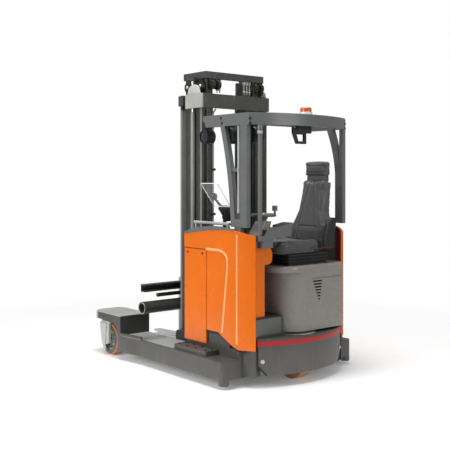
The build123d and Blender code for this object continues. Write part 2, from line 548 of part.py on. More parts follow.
# Overhead guard: a forked left post, a broad right post, side beams and the bowed rear band
GUARD_T = 40
GUARD_FOOT_Z = PANEL_TOP_Z + 90
FOOT_X = (-1040, -960)
with BuildPart() as overhead_guard:
    for side in (1, -1):
        # Side beam with its slanted front end
        with BuildSketch(Plane.XZ.offset(-side * (GUARD_HALF_Y - GUARD_T))):
            with BuildLine():
                Polyline((GUARD_REAR_X, GUARD_TOP_Z - GUARD_BEAM_H), (GUARD_REAR_X, GUARD_TOP_Z),
                         (GUARD_FRONT_X, GUARD_TOP_Z), (GUARD_FRONT_X - 40, GUARD_TOP_Z - GUARD_BEAM_H),
                         close=True)
            make_face()
        extrude(amount=-side * GUARD_T)
        # Foot of the post, inside the side panel
        span_box(FOOT_X[0], FOOT_X[1], side * (GUARD_HALF_Y - GUARD_T), side * (GUARD_HALF_Y - 4),
                 DECK_Z + DECK_T, GUARD_FOOT_Z)
    # Left post and the curved strut that parts from it
    span_box(GUARD_REAR_X, GUARD_REAR_X + 80, GUARD_HALF_Y - GUARD_T, GUARD_HALF_Y, GUARD_FOOT_Z - 44,
             GUARD_TOP_Z - 10)
    with BuildSketch(Plane.XZ.offset(GUARD_T - GUARD_HALF_Y)):
        with BuildLine():
            Polyline((GUARD_REAR_X + 80, GUARD_FOOT_Z - 44), (-919, GUARD_FOOT_Z - 44))
            ThreePointArc((-919, GUARD_FOOT_Z - 44), (-866, 1770), (-768, GUARD_TOP_Z - 50))
            Line((-768, GUARD_TOP_Z - 50), (-822, GUARD_TOP_Z - 50))
            ThreePointArc((-822, GUARD_TOP_Z - 50), (-918, 1770), (-966, GUARD_FOOT_Z + 20))
            Polyline((-966, GUARD_FOOT_Z + 20), (GUARD_REAR_X + 80, GUARD_FOOT_Z + 20),
                     (GUARD_REAR_X + 80, GUARD_FOOT_Z - 44))
        make_face()
    extrude(amount=-GUARD_T)
    span_box(GUARD_REAR_X + 80, -915, GUARD_HALF_Y - GUARD_T, GUARD_HALF_Y - 12, 1735, 1765)
    # Right post, narrow above and broad below, with its slanting strut
    with BuildSketch(Plane.XZ.offset(GUARD_HALF_Y)):
        with BuildLine():
            Polyline((-1150, GUARD_FOOT_Z - 44), (FOOT_X[1], GUARD_FOOT_Z - 44), (FOOT_X[1], GUARD_FOOT_Z),
                     (-1062, GUARD_FOOT_Z),
                     (-1062, 1720))
            ThreePointArc((-1062, 1720), (-1018, 1960), (-940, GUARD_TOP_Z - 50))
            Line((-940, GUARD_TOP_Z - 50), (-1010, GUARD_TOP_Z - 50))
            ThreePointArc((-1010, GUARD_TOP_Z - 50), (-1076, 1970), (-1112, 1780))
            Polyline((-1112, 1780), (-1112, GUARD_TOP_Z - 10), (-1150, GUARD_TOP_Z - 10),
                     (-1150, GUARD_FOOT_Z - 44))
        make_face()
    extrude(amount=-GUARD_T)
    # Bowed rear band and front cross beam
    with BuildSketch(Plane.XY.offset(GUARD_TOP_Z - GUARD_BEAM_H)):
        with BuildLine():
            ThreePointArc((-1146, -GUARD_HALF_Y), (-1290, 0), (-1146, GUARD_HALF_Y))
            Line((-1146, GUARD_HALF_Y), (-1106, GUARD_HALF_Y))
            ThreePointArc((-1106, GUARD_HALF_Y), (-1256, 0), (-1106, -GUARD_HALF_Y))
            Line((-1106, -GUARD_HALF_Y), (-1146, -GUARD_HALF_Y))
        make_face()
    extrude(amount=GUARD_BEAM_H)
    span_box(GUARD_FRONT_X - 50, GUARD_FRONT_X, -GUARD_HALF_Y, GUARD_HALF_Y, GUARD_TOP_Z - 50, GUARD_TOP_Z)
save(overhead_guard, "overhead_guard")
ROOF_BARS = 6
with BuildPart() as roof_bars:
    for bar in range(ROOF_BARS):
        bar_y = (bar - (ROOF_BARS - 1) / 2) * GUARD_HALF_Y * 0.2926
        bow = 140 * (1 - (bar_y / GUARD_HALF_Y) ** 2)
        span_box(-1102 - bow, GUARD_FRONT_X - 50, bar_y - 20, bar_y + 20, GUARD_TOP_Z - 44, GUARD_TOP_Z - 8)
save(roof_bars, "roof_bars")
BEACON_X, BEACON_Y = -1150, -70
with BuildPart() as beacon_base:
    z_cylinder(BEACON_X, BEACON_Y, GUARD_TOP_Z - 8 + SEAT_GAP, GUARD_TOP_Z + 30, 56)
save(beacon_base, "beacon_base")
with BuildPart() as beacon_lens:
    z_cylinder(BEACON_X, BEACON_Y, GUARD_TOP_Z + 30, GUARD_TOP_Z + 70, 48)
    fillet(beacon_lens.faces().sort_by(Axis.Z)[-1].edges(), 14)
save(beacon_lens, "beacon_lens")

# Lamps, mirror bracket and grab tube under the roof
# Lamp rows as (X, distance in from the guard's side, radius, bracket start X, bracket end X)
LAMPS = ((-512, 84, 60, -600, -498), (-830, 94, 70, -846, -814), (-1085, 126, 66, -1101, -1069))
with BuildPart() as work_lamps:
    for lamp_x, inset, lamp_r, foot_x0, foot_x1 in LAMPS:
        lamp_y = GUARD_HALF_Y - inset
        with Locations((lamp_x, lamp_y, GUARD_TOP_Z - 172)):
            Cylinder(lamp_r, 80, rotation=(90, 0, 0))
        span_box(lamp_x - 14, lamp_x + 14, lamp_y - 12, lamp_y + 40, GUARD_TOP_Z - 130, GUARD_TOP_Z - 56)
        span_box(foot_x0, foot_x1, lamp_y + 20, GUARD_HALF_Y - GUARD_T - SEAT_GAP, GUARD_TOP_Z - 90,
                 GUARD_TOP_Z - 56)
save(work_lamps, "work_lamps")
with BuildPart() as mirror_bracket:
    span_box(-1180, -1150, -107, 53, GUARD_TOP_Z - 150, GUARD_TOP_Z - 44 - SEAT_GAP)
    with BuildSketch(Plane.YZ.offset(-1176)):
        with BuildLine():
            Polyline((103, GUARD_TOP_Z - 150), (60, GUARD_TOP_Z - 240), (-50, GUARD_TOP_Z - 240),
                     (-50, GUARD_TOP_Z - 140),
                     (103, GUARD_TOP_Z - 100), close=True)
        make_face()
    extrude(amount=22)
    with BuildSketch(Plane.YZ.offset(-1182)):
        with BuildLine():
            Polyline((64, GUARD_TOP_Z - 162), (42, GUARD_TOP_Z - 218), (-26, GUARD_TOP_Z - 218),
                     (-26, GUARD_TOP_Z - 162),
                     close=True)
        make_face()
    extrude(amount=40, mode=Mode.SUBTRACT)
save(mirror_bracket, "mirror_bracket")
with BuildPart() as grab_tube:
    tube_x, tube_y = -1172, CAB_HALF_Y - 136
    tube_top = GUARD_TOP_Z - GUARD_BEAM_H - SEAT_GAP
    z_cylinder(tube_x, tube_y, 1222 + SEAT_GAP, tube_top, 18)
    z_cylinder(tube_x, tube_y, tube_top - 40, tube_top, 24)
save(grab_tube, "grab_tube")

# Reach carriage: two cheek plates with roller pins, tied by a low cross beam behind the mast
ROLLER_X = (-300, -110)
ROLLER_R, ROLLER_PIN_R = GROOVE_H / 2 - SEAT_GAP, 18
with BuildPart() as reach_carriage:
    for side in (1, -1):
        span_box(-330, 20, side * MAST_HALF_Y, side * (MAST_HALF_Y + CHEEK_T), 100, 300)
        for roller_x in ROLLER_X:
            y_cylinder(roller_x, side * (MAST_HALF_Y + CHEEK_T), side * (ARM_IN_Y + 56), GROOVE_Z,
                       ROLLER_PIN_R)
    fillet(reach_carriage.edges().filter_by(Axis.Y).group_by(Axis.Z)[-1], 40)
    span_box(-334, -312, -MAST_HALF_Y - CHEEK_T, MAST_HALF_Y + CHEEK_T, 105, 175)
save(reach_carriage, "reach_carriage")
with BuildPart() as reach_rollers:
    for side in (1, -1):
        for roller_x in ROLLER_X:
            y_cylinder(roller_x, side * (ARM_IN_Y + 6), side * (ARM_IN_Y + 52), GROOVE_Z, ROLLER_R)
            y_cylinder(roller_x, side * (ARM_IN_Y - 5), side * (ARM_IN_Y + 60), GROOVE_Z,
                       ROLLER_PIN_R + PIN_FIT,
                       mode=Mode.SUBTRACT)
save(reach_rollers, "reach_rollers")


def mast_rails(rail, z_range, outer_lip_y=None, pad_y=None):
    """A left and right rail of channel section, open inwards, added to the open part."""
    web_y, web_t, tip_y, rear_x, front_x, flange_t = rail
    lip_y = outer_lip_y or web_y
    for side in (1, -1):
        if pad_y:
            # Wear pads that slide on the web of the next stage out
            for pad_z in PAD_Z:
                span_box(-190, -110, side * web_y, side * (pad_y - SEAT_GAP), pad_z, pad_z + 80)
        span_box(rear_x, front_x, side * (web_y - web_t), side * web_y, *z_range)
        span_box(rear_x, rear_x + flange_t, side * tip_y, side * lip_y, *z_range)
        span_box(front_x - flange_t, front_x, side * tip_y, side * lip_y, *z_range)


# Outer mast: deep rails with the lift cylinders in their outer recess, a foot beam and the crosshead
with BuildPart() as outer_mast:
    mast_rails(OUTER_RAIL, OUTER_RAIL_Z, MAST_HALF_Y)
    span_box(-328, -310, -MAST_HALF_Y, MAST_HALF_Y, 180, 300)
    span_box(-330, -310, -MAST_HALF_Y, MAST_HALF_Y, *CROSSHEAD_Z)
    for side in (1, -1):
        span_box(-330, -80, side * MAST_HALF_Y, side * (MAST_HALF_Y + 12), *CROSSHEAD_Z)
        span_box(-40, 26, side * (MAST_HALF_Y - 24), side * (MAST_HALF_Y + 12), CROSSHEAD_Z[0] + 30,
                 CROSSHEAD_Z[1] - 6)
        span_box(-285, -15, side * OUTER_RAIL[0], side * MAST_HALF_Y, 110, 150)
save(outer_mast, "outer_mast")

# Lift cylinders: barrels in the outer mast, rods that rise with the middle mast
CYLINDER_X, CYLINDER_Y, CYLINDER_R, ROD_R = -150, MAST_HALF_Y - 22, 20.5, 14
with BuildPart() as lift_cylinders:
    for side in (1, -1):
        z_cylinder(CYLINDER_X, side * CYLINDER_Y, 150, 2280, CYLINDER_R)
        z_cylinder(CYLINDER_X, side * CYLINDER_Y, 560, 2281, ROD_R + PIN_FIT, mode=Mode.SUBTRACT)
save(lift_cylinders, "lift_cylinders")
ROD_CAP_Z = 2560
with BuildPart() as lift_rods:
    for side in (1, -1):
        z_cylinder(CYLINDER_X, side * CYLINDER_Y, 570, ROD_CAP_Z - SEAT_GAP, ROD_R)
save(lift_rods, "lift_rods")
with BuildPart() as mast_chains:
    for side in (1, -1):
        span_box(-340, -328, side * (MAST_HALF_Y - 72), side * (MAST_HALF_Y - 38), 200,
                 CROSSHEAD_Z[0] - SEAT_GAP)
save(mast_chains, "mast_chains")

# Middle mast: rails, foot plate and the top frame that carries the pulleys and the rod caps
MIDDLE_OUT_Y = MIDDLE_RAIL[0] + 24
with BuildPart() as middle_mast:
    mast_rails(MIDDLE_RAIL, MIDDLE_RAIL_Z, pad_y=OUTER_RAIL[0] - OUTER_RAIL[1])
    span_box(-275, -263, -MIDDLE_RAIL[2], MIDDLE_RAIL[2], 140, 240)
    span_box(-312, -275, -MIDDLE_OUT_Y, MIDDLE_OUT_Y, *CROSSBAR_Z)
    for side in (1, -1):
        span_box(-275, 20, side * MIDDLE_RAIL[0], side * MIDDLE_OUT_Y, *CROSSBAR_Z)
        span_box(CYLINDER_X - 30, CYLINDER_X + 30, side * MIDDLE_RAIL[0], side * (CYLINDER_Y + 18),
                 ROD_CAP_Z, ROD_CAP_Z + 40)
save(middle_mast, "middle_mast")

# Pulleys: chain pulleys behind the crossbar and hose pulleys at both sides, as (X, Y from the mast's side,
# radius)
CHAIN_PULLEYS = ((-326, 100), (-326, 165))
HOSE_PULLEYS_X = (-250, -60)
with BuildPart() as mast_pulleys:
    for side in (1, -1):
        for pulley_x, inset in CHAIN_PULLEYS:
            pulley_y = side * (MAST_HALF_Y - inset)
            y_cylinder(pulley_x, pulley_y - 16, pulley_y + 16, 2522, 42)
            for cheek in (1, -1):
                span_box(pulley_x - 12, pulley_x + 36, pulley_y + cheek * 16, pulley_y + cheek * 22, 2500,
                         CROSSBAR_Z[0] - SEAT_GAP)
        for pulley_x in HOSE_PULLEYS_X:
            y_cylinder(pulley_x, side * (MIDDLE_RAIL[0] + 10), side * (MIDDLE_RAIL[0] + 42), 2510, 44)
            span_box(pulley_x - 14, pulley_x + 14, side * (MIDDLE_RAIL[0] + 4),
                     side * (MIDDLE_RAIL[0] + 10), 2490,
                     CROSSBAR_Z[0] - SEAT_GAP)
save(mast_pulleys, "mast_pulleys")

# Inner mast: rails, two cross plates and the offset free lift cylinder
with BuildPart() as inner_mast:
    mast_rails(INNER_RAIL, INNER_RAIL_Z, pad_y=MIDDLE_RAIL[0] - MIDDLE_RAIL[1])
    span_box(-245, -232, -INNER_RAIL[2], INNER_RAIL[2], 160, 270)
    span_box(-245, -232, -INNER_RAIL[2], INNER_RAIL[2], CROSSHEAD_Z[0] + 14, CROSSHEAD_Z[1] - 16)
save(inner_mast, "inner_mast")
FREE_X, FREE_Y, FREE_R = -204, 252 - MAST_HALF_Y, 26
with BuildPart() as free_lift_cylinder:
    z_cylinder(FREE_X, FREE_Y, 200, 1500, FREE_R)
    span_box(-232 + SEAT_GAP, FREE_X, FREE_Y - 30, FREE_Y + 30, 180, 230)
save(free_lift_cylinder, "free_lift_cylinder")

# Lift carriage: side plates with rollers in the inner rails, cross plates and the tilt lugs
CARRIAGE_Z = (300, 760)
CARRIAGE_Y = INNER_RAIL[2] - 10
CARRIAGE_ROLLER_X, CARRIAGE_ROLLER_Z, CARRIAGE_ROLLER_R = -150, (390, 670), 77 - SEAT_GAP
with BuildPart() as lift_carriage:
    for side in (1, -1):
        span_box(-195, 10, side * (CARRIAGE_Y - 25), side * CARRIAGE_Y, *CARRIAGE_Z)
        for roller_z in CARRIAGE_ROLLER_Z:
            y_cylinder(CARRIAGE_ROLLER_X, side * CARRIAGE_Y, side * (CARRIAGE_Y + 17), roller_z, 30)
            y_cylinder(CARRIAGE_ROLLER_X, side * (CARRIAGE_Y + 17), side * (CARRIAGE_Y + 69), roller_z,
                       CARRIAGE_ROLLER_R)
        span_box(30, TILT_X + 22, side * 85, side * 114, TILT_Z - 30, TILT_Z + 30)
        y_cylinder(TILT_X, side * 114, side * 156, TILT_Z, 15)
    span_box(10, 30, -CARRIAGE_Y, CARRIAGE_Y, 320, 420)
    span_box(10, 30, -CARRIAGE_Y, CARRIAGE_Y, 570, 650)
save(lift_carriage, "lift_carriage")

# Fork frame: open tube, upper channel, lower rod and the brackets that hang it on the tilt pins
with BuildPart() as fork_frame:
    y_cylinder(TUBE_X, -FRAME_HALF_Y, FRAME_HALF_Y, TUBE_Z, TUBE_R)
    span_box(45, 110, -FRAME_HALF_Y, FRAME_HALF_Y, *CHANNEL_Z)
    span_box(44, 98, -FRAME_HALF_Y - 1, FRAME_HALF_Y + 1, CHANNEL_Z[0] + 12, CHANNEL_Z[1] - 12,
             mode=Mode.SUBTRACT)
    y_cylinder(122, 187 - FRAME_HALF_Y, FRAME_HALF_Y - 187, 614, 18)
    for side in (1, -1):
        with BuildSketch(Plane.XZ.offset(-side * 120)):
            with BuildLine():
                Polyline((50, CHANNEL_Z[1]), (110, CHANNEL_Z[1]), (110, 660), (134, 640), (134, 545),
                         (60, 545), (50, 570),
                         close=True)
            make_face()
        extrude(amount=-side * 30)
        y_cylinder(TILT_X, side * 118, side * 160, TILT_Z, 15 + PIN_FIT, mode=Mode.SUBTRACT)
    y_cylinder(TUBE_X, -FRAME_HALF_Y - 1, FRAME_HALF_Y + 1, TUBE_Z, TUBE_R - TUBE_WALL, mode=Mode.SUBTRACT)
save(fork_frame, "fork_frame")

# Forks: a sleeve on the tube, a shank and a tapered blade
for name, side in SIDES:
    fork_y = side * FORK_Y
    with BuildPart() as fork:
        with BuildSketch(Plane.XZ.offset(-fork_y - FORK_W / 2)):
            with BuildLine():
                Polyline((FORK_SHANK_X, 750), (FORK_SHANK_X, FORK_BOTTOM_Z + 14),
                         (FORK_SHANK_X + 14, FORK_BOTTOM_Z),
                         (FORK_TIP_X, FORK_BOTTOM_Z), (FORK_TIP_X, FORK_BOTTOM_Z + 12),
                         (FORK_SHANK_X + 320, FORK_BOTTOM_Z + FORK_T),
                         (FORK_SHANK_X + FORK_T, FORK_BOTTOM_Z + FORK_T),
                         (FORK_SHANK_X + FORK_T, 750), close=True)
            make_face()
        extrude(amount=FORK_W)
        fillet(fork.edges().filter_by(Axis.Z).group_by(Axis.X)[-1], 45)
        span_box(48, FORK_SHANK_X + 1, fork_y - FORK_W / 2, fork_y + FORK_W / 2, 735, 750)
        span_box(TUBE_X, FORK_SHANK_X + 1, fork_y - 40, fork_y + 40, TUBE_Z - 40, TUBE_Z + 40)
        y_cylinder(TUBE_X, fork_y - 40, fork_y + 40, TUBE_Z, TUBE_R + 14)
        y_cylinder(TUBE_X, fork_y - 60, fork_y + 60, TUBE_Z, TUBE_R + SEAT_GAP, mode=Mode.SUBTRACT)
    save(fork, f"fork_{name}")
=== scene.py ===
# %% [markdown]
# # A four-way reach truck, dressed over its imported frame
# The frame already holds every rigid piece at its real place, so this lesson only adds what the solids
# lack: finishes, soft pads and the small parts that repeat. Lengths are metres unless a name ends in MM or
# PX. X points to the fork tips, Y to the truck's left and Z up from the floor.

# %% Load the frame
import math
import bmesh
import bpy
from mathutils import Matrix, Vector
from mathutils.bvhtree import BVHTree


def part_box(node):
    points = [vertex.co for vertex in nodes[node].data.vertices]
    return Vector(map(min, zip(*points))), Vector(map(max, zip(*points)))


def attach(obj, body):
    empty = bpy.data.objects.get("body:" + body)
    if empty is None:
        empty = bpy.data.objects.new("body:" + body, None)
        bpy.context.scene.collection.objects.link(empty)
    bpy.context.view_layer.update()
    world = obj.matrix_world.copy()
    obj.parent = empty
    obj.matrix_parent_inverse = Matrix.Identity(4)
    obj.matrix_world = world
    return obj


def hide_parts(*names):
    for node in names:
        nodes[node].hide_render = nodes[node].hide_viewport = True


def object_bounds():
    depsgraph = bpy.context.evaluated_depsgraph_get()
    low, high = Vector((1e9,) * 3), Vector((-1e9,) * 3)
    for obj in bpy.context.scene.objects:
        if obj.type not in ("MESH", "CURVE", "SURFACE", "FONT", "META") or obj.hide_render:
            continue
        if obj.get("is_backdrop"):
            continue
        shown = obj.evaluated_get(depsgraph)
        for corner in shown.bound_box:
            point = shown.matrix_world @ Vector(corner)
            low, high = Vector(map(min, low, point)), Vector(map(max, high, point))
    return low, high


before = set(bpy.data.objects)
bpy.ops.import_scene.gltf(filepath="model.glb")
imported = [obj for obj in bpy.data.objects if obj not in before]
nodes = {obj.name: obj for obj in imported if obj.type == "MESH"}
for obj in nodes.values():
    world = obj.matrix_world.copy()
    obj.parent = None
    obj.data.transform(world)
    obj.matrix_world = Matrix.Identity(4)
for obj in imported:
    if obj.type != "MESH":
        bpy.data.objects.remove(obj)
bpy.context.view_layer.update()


# %% [markdown]
# ## Camera
# It stands behind the truck's left rear corner at eye height and looks level. The picture's horizon lies
# above its middle, so the lens is shifted instead of tilted, which keeps the posts upright.

# %% Camera
PHOTO_PX = 450
HORIZON_PX = 177.5
FOCAL_PX = 805.0
SENSOR_MM = 36.0
CAMERA_AT = Vector((-5.964, 4.781, 1.689))
CAMERA_LOOK = Vector((0.772, -0.636, 0.0))
camera_data = bpy.data.cameras.new("photo_camera")
camera_data.sensor_width = SENSOR_MM
camera_data.lens = FOCAL_PX / PHOTO_PX * SENSOR_MM
camera_data.shift_y = (HORIZON_PX - PHOTO_PX / 2) / PHOTO_PX
camera_data.clip_end = 60
camera = bpy.data.objects.new("photo_camera", camera_data)
camera.location = CAMERA_AT
camera.rotation_euler = CAMERA_LOOK.to_track_quat("-Z", "Y").to_euler()
bpy.context.scene.collection.objects.link(camera)
bpy.context.scene.camera = camera
print("lens", round(camera_data.lens, 1), "mm")


# %% [markdown]
# ## One way to add a shader node
# Every shader and every Geometry Nodes tree below is built with the same small function. It adds a node,
# fills its sockets or fields, and links other nodes' outputs to it. A socket goes by its name, or by its
# number where several share one name.

# %% Helpers for colours and nodes
def to_linear(hex_colour):
    """An sRGB hex colour as linear RGBA."""
    parts = [int(hex_colour[i:i + 2], 16) / 255 for i in (1, 3, 5)]
    return tuple(c / 12.92 if c <= 0.04045 else ((c + 0.055) / 1.055) ** 2.4 for c in parts) + (1.0,)


def put(tree, kind, settings=None, links=None):
    """Add one node, set its sockets or fields, and link its inputs to other nodes' outputs."""
    node = tree.nodes.new(kind)
    fields = {k: v for k, v in (settings or {}).items() if isinstance(k, str) and k not in node.inputs}
    for key, value in fields.items():
        setattr(node, key, value)
    for key, value in (settings or {}).items():
        if key not in fields:
            node.inputs[key].default_value = value
    for key, source in (links or {}).items():
        tree.links.new(source, node.inputs[key])
    return node


# %% [markdown]
# ## Studio light
# The truck stands in even light from all sides, a little stronger from above and from its left, over a soft
# shadow. A white room would do it too, but three soft panels in a white world are quicker to render. The
# world is pure white where the camera sees it and dimmer as a light.

# %% World and lights
WORLD_LIGHT, WORLD_SEEN = 0.34, 1.0
# Name, place, what it points at, side of its square, watts
LIGHTS = (("top_panel", (-0.8, 0.8, 6.2), (-0.2, 0, 0.6), 3.2, 330),
          ("left_panel", (-0.2, 6.2, 3.0), (-0.2, 0, 1.0), 2.6, 190),
          ("rear_panel", (-6.5, -1.5, 2.6), (-0.8, 0, 1.0), 2.4, 80))
world = bpy.data.worlds.new("white_studio")
world.use_nodes = True
sky = world.node_tree.nodes["Background"]
sky.inputs["Color"].default_value = to_linear("#FFFFFF")
ray = put(world.node_tree, "ShaderNodeLightPath")
level = put(world.node_tree, "ShaderNodeMapRange", {"To Min": WORLD_LIGHT, "To Max": WORLD_SEEN},
            {"Value": ray.outputs["Is Camera Ray"]})
world.node_tree.links.new(level.outputs["Result"], sky.inputs["Strength"])
bpy.context.scene.world = world
bpy.context.scene.view_settings.view_transform = "Standard"
for name, at, towards, size, watts in LIGHTS:
    data = bpy.data.lights.new(name, "AREA")
    data.size, data.energy = size, watts
    light = bpy.data.objects.new(name, data)
    light.location = at
    light.rotation_euler = (Vector(towards) - Vector(at)).to_track_quat("-Z", "Y").to_euler()
    bpy.context.scene.collection.objects.link(light)
print("lights", len(LIGHTS))

# %% [markdown]
# ## Floor
# A sheet of white paper catches the shadow. It glows a little and fades out a few metres from the truck, so
# that it melts into the background without an edge.

# %% Floor
FLOOR_HALF = 6.0
FLOOR_CLEAR_FROM, FLOOR_CLEAR_TO = 1.6, 4.0
FLOOR_GLOW = 0.12
floor_mesh = bpy.data.meshes.new("studio_floor")
floor_corners = [(x * FLOOR_HALF, y * FLOOR_HALF, 0) for x, y in ((-1, -1), (1, -1), (1, 1), (-1, 1))]
floor_mesh.from_pydata(floor_corners, [], [(0, 1, 2, 3)])
floor = bpy.data.objects.new("studio_floor", floor_mesh)
bpy.context.scene.collection.objects.link(floor)
floor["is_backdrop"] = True
# White paper: bright and matte, so it shows soft shadows and no gloss
paper = bpy.data.materials.new("white_paper")
paper.use_nodes = True
tree = paper.node_tree
shader = tree.nodes["Principled BSDF"]
shader.inputs["Base Color"].default_value = to_linear("#F4F4F4")
shader.inputs["Roughness"].default_value = 0.95
shader.inputs["Emission Color"].default_value = to_linear("#FFFFFF")
shader.inputs["Emission Strength"].default_value = FLOOR_GLOW
place = put(tree, "ShaderNodeTexCoord").outputs["Object"]
reach = put(tree, "ShaderNodeVectorMath", {"operation": "LENGTH"}, {0: place})
fade = put(tree, "ShaderNodeMapRange", {"From Min": FLOOR_CLEAR_FROM, "From Max": FLOOR_CLEAR_TO,
                                        "To Min": 1.0, "To Max": 0.0}, {"Value": reach.outputs["Value"]})
tree.links.new(fade.outputs["Result"], shader.inputs["Alpha"])
floor_mesh.materials.append(paper)
print("floor", 2 * FLOOR_HALF, "m wide")


# %% [markdown]
# ## One recipe for painted, moulded and cast surfaces
# All of them show a fine grain, large soft patches and some dirt. The recipe lays these on one Principled
# shader: a patch noise moves the colour and the roughness, a grain noise makes the bump, a stretched noise
# draws upright scuffs, and dust lightens what is close to the floor. A zone repaints a box of the surface,
# or what faces one way, in another colour, which is how one solid carries two finishes without being cut.
# Several zones below are painted light and shade, not a second finish: paler where light falls on a face,
# darker where shade falls.

# %% Zones and colour mixes
def in_zone(tree, place, limits):
    """1 inside a box and 0 outside. limits bounds X, Y or Z in metres, or the facing as NX, NY or NZ."""
    facing = put(tree, "ShaderNodeTexCoord").outputs["Normal"]
    sources = {"": put(tree, "ShaderNodeSeparateXYZ", links={"Vector": place}),
               "N": put(tree, "ShaderNodeSeparateXYZ", links={"Vector": facing})}
    inside = None
    for axis, (low, high) in limits.items():
        middle, half = (low + high) / 2, (high - low) / 2
        near = put(tree, "ShaderNodeMath", {"operation": "COMPARE", 1: middle, 2: half},
                   {0: sources[axis[:-1]].outputs[axis[-1]]}).outputs[0]
        inside = near if inside is None else put(tree, "ShaderNodeMath", {"operation": "MULTIPLY"},
                                                 {0: inside, 1: near}).outputs[0]
    return inside


def mixed(tree, amount, under, over):
    """Colour `under` turned into colour `over` by an amount from 0 to 1; over is a plain linear colour."""
    node = put(tree, "ShaderNodeMix", {"data_type": "RGBA"})
    # The mix node has a factor and two inputs for each data type; 0, 6 and 7 are those for colours
    node.inputs[7].default_value = over
    tree.links.new(amount, node.inputs[0])
    tree.links.new(under, node.inputs[6])
    return node.outputs[2]


# %% The surface recipe
DUST, DUST_TOP = to_linear("#9A9488"), 0.42
SCUFF = to_linear("#B9B8B2")
# Scuffs are about 11 mm wide and 170 mm tall
SCUFF_SCALE = (90.0, 90.0, 6.0)
EDGE_ROUND = 0.004
# A noise rarely leaves this range, so it is stretched to fill 0 to 1
NOISE_LOW, NOISE_HIGH = 0.3, 0.7


def surface(name, colour, rough, grain_mm, bump=0.05, mottle=0.08, rough_swing=0.07, patch_mm=140.0,
            scuff=0.0, dust=0.0, zones=(), **sockets):
    """A finish with grain, patches, scuffs and dust, read from Object coordinates."""
    material = bpy.data.materials.new(name)
    material.use_nodes = True
    tree = material.node_tree
    shader = tree.nodes["Principled BSDF"]
    for key, value in sockets.items():
        shader.inputs[key.replace("_", " ")].default_value = value
    place = put(tree, "ShaderNodeTexCoord").outputs["Object"]
    grain = put(tree, "ShaderNodeTexNoise", {"Scale": 1000.0 / grain_mm, "Detail": 2.0}, {"Vector": place})
    patch = put(tree, "ShaderNodeTexNoise", {"Scale": 1000.0 / patch_mm, "Detail": 5.0}, {"Vector": place})
    patch_value = patch.outputs["Fac"]
    paint = put(tree, "ShaderNodeRGB").outputs[0]
    paint.default_value = to_linear(colour)
    for zone_colour, limits in zones:
        paint = mixed(tree, in_zone(tree, place, limits), paint, to_linear(zone_colour))
    if scuff:
        # Thin pale upright streaks where the stretched noise peaks
        stretch = put(tree, "ShaderNodeMapping", {"Scale": SCUFF_SCALE}, {"Vector": place})
        streak = put(tree, "ShaderNodeTexNoise", {"Scale": 1.0, "Detail": 3.0},
                     {"Vector": stretch.outputs[0]})
        shown = put(tree, "ShaderNodeMapRange", {"From Min": 0.62, "From Max": 0.76, "To Max": scuff},
                    {"Value": streak.outputs["Fac"]})
        paint = mixed(tree, shown.outputs["Result"], paint, SCUFF)
    if dust:
        height = put(tree, "ShaderNodeSeparateXYZ", links={"Vector": place}).outputs["Z"]
        low_down = put(tree, "ShaderNodeMapRange", {"From Min": 0.0, "From Max": DUST_TOP, "To Min": dust,
                                                    "To Max": 0.0}, {"Value": height})
        patchy = put(tree, "ShaderNodeMath", {"operation": "MULTIPLY"},
                     {0: low_down.outputs["Result"], 1: patch_value})
        paint = mixed(tree, patchy.outputs[0], paint, DUST)
    shade = put(tree, "ShaderNodeMapRange", {"From Min": NOISE_LOW, "From Max": NOISE_HIGH,
                                             "To Min": 1 - mottle, "To Max": 1 + mottle},
                {"Value": patch_value})
    tint = put(tree, "ShaderNodeVectorMath", {"operation": "SCALE"},
               {0: paint, "Scale": shade.outputs["Result"]})
    tree.links.new(tint.outputs["Vector"], shader.inputs["Base Color"])
    swing = put(tree, "ShaderNodeMapRange", {"From Min": NOISE_LOW, "From Max": NOISE_HIGH,
                                             "To Min": rough - rough_swing, "To Max": rough + rough_swing},
                {"Value": patch_value})
    tree.links.new(swing.outputs["Result"], shader.inputs["Roughness"])
    # Edges look rounded by a few millimetres, so they catch a line of light
    rounding = put(tree, "ShaderNodeBevel", {"samples": 4, "Radius": EDGE_ROUND})
    dent = put(tree, "ShaderNodeBump", {"Strength": bump, "Distance": grain_mm / 4000.0},
               {"Height": grain.outputs["Fac"], "Normal": rounding.outputs["Normal"]})
    tree.links.new(dent.outputs["Normal"], shader.inputs["Normal"])
    return material


# %% [markdown]
# ## Powder coat and enamel
# The steelwork is powder coated: satin, with a faint orange peel about 2 mm wide that is drawn a little
# coarser than real, since it would be lost at this distance. The cab panels are enamelled and glossy. Some
# places are paler or darker than the rest of their solid, so they are zones.
# Several of these zones are painted highlights and painted shade.

# %% Paints
PALE = "#9B9D9A"
PEEL_MM, ENAMEL_MM = 2.2, 3.0
RUNNING_PLATES = {"X": (-0.36, 0.41), "Z": (0.2235, 0.2268)}
# Painted highlight on the housings' upward tops and front noses; painted shade on their rear walls
PLATFORM_TOPS_PAINTED_LIGHT = {"Z": (0.385, 0.41), "NZ": (0.3, 1.1)}
PLATFORM_NOSES_PAINTED_LIGHT = {"X": (0.80, 0.95), "Z": (0.33, 0.41)}
HOUSING_REARS_PAINTED_SHADE = {"NX": (-1.1, -0.6)}
MAST_HEAD_ENDS = {"X": (-0.34, -0.06), "Y": (0.3905, 0.41), "Z": (2.305, 2.445)}
# The front flange and its thin tips are painted highlights, upright lines of light
FRONT_FLANGE_HIGHLIGHT = {"X": (-0.02, 0.03), "Y": (0.3475, 0.3905), "Z": (0.1, 2.305)}
FLANGE_TIPS_HIGHLIGHT = {"Y": (0.3885, 0.3905), "Z": (0.1, 2.305)}
# The right panel's inner faces get dark red as painted shade
PANEL_INSIDE_PAINTED_SHADE = {"NX": (-0.2, 1.1), "NY": (0.35, 1.1)}
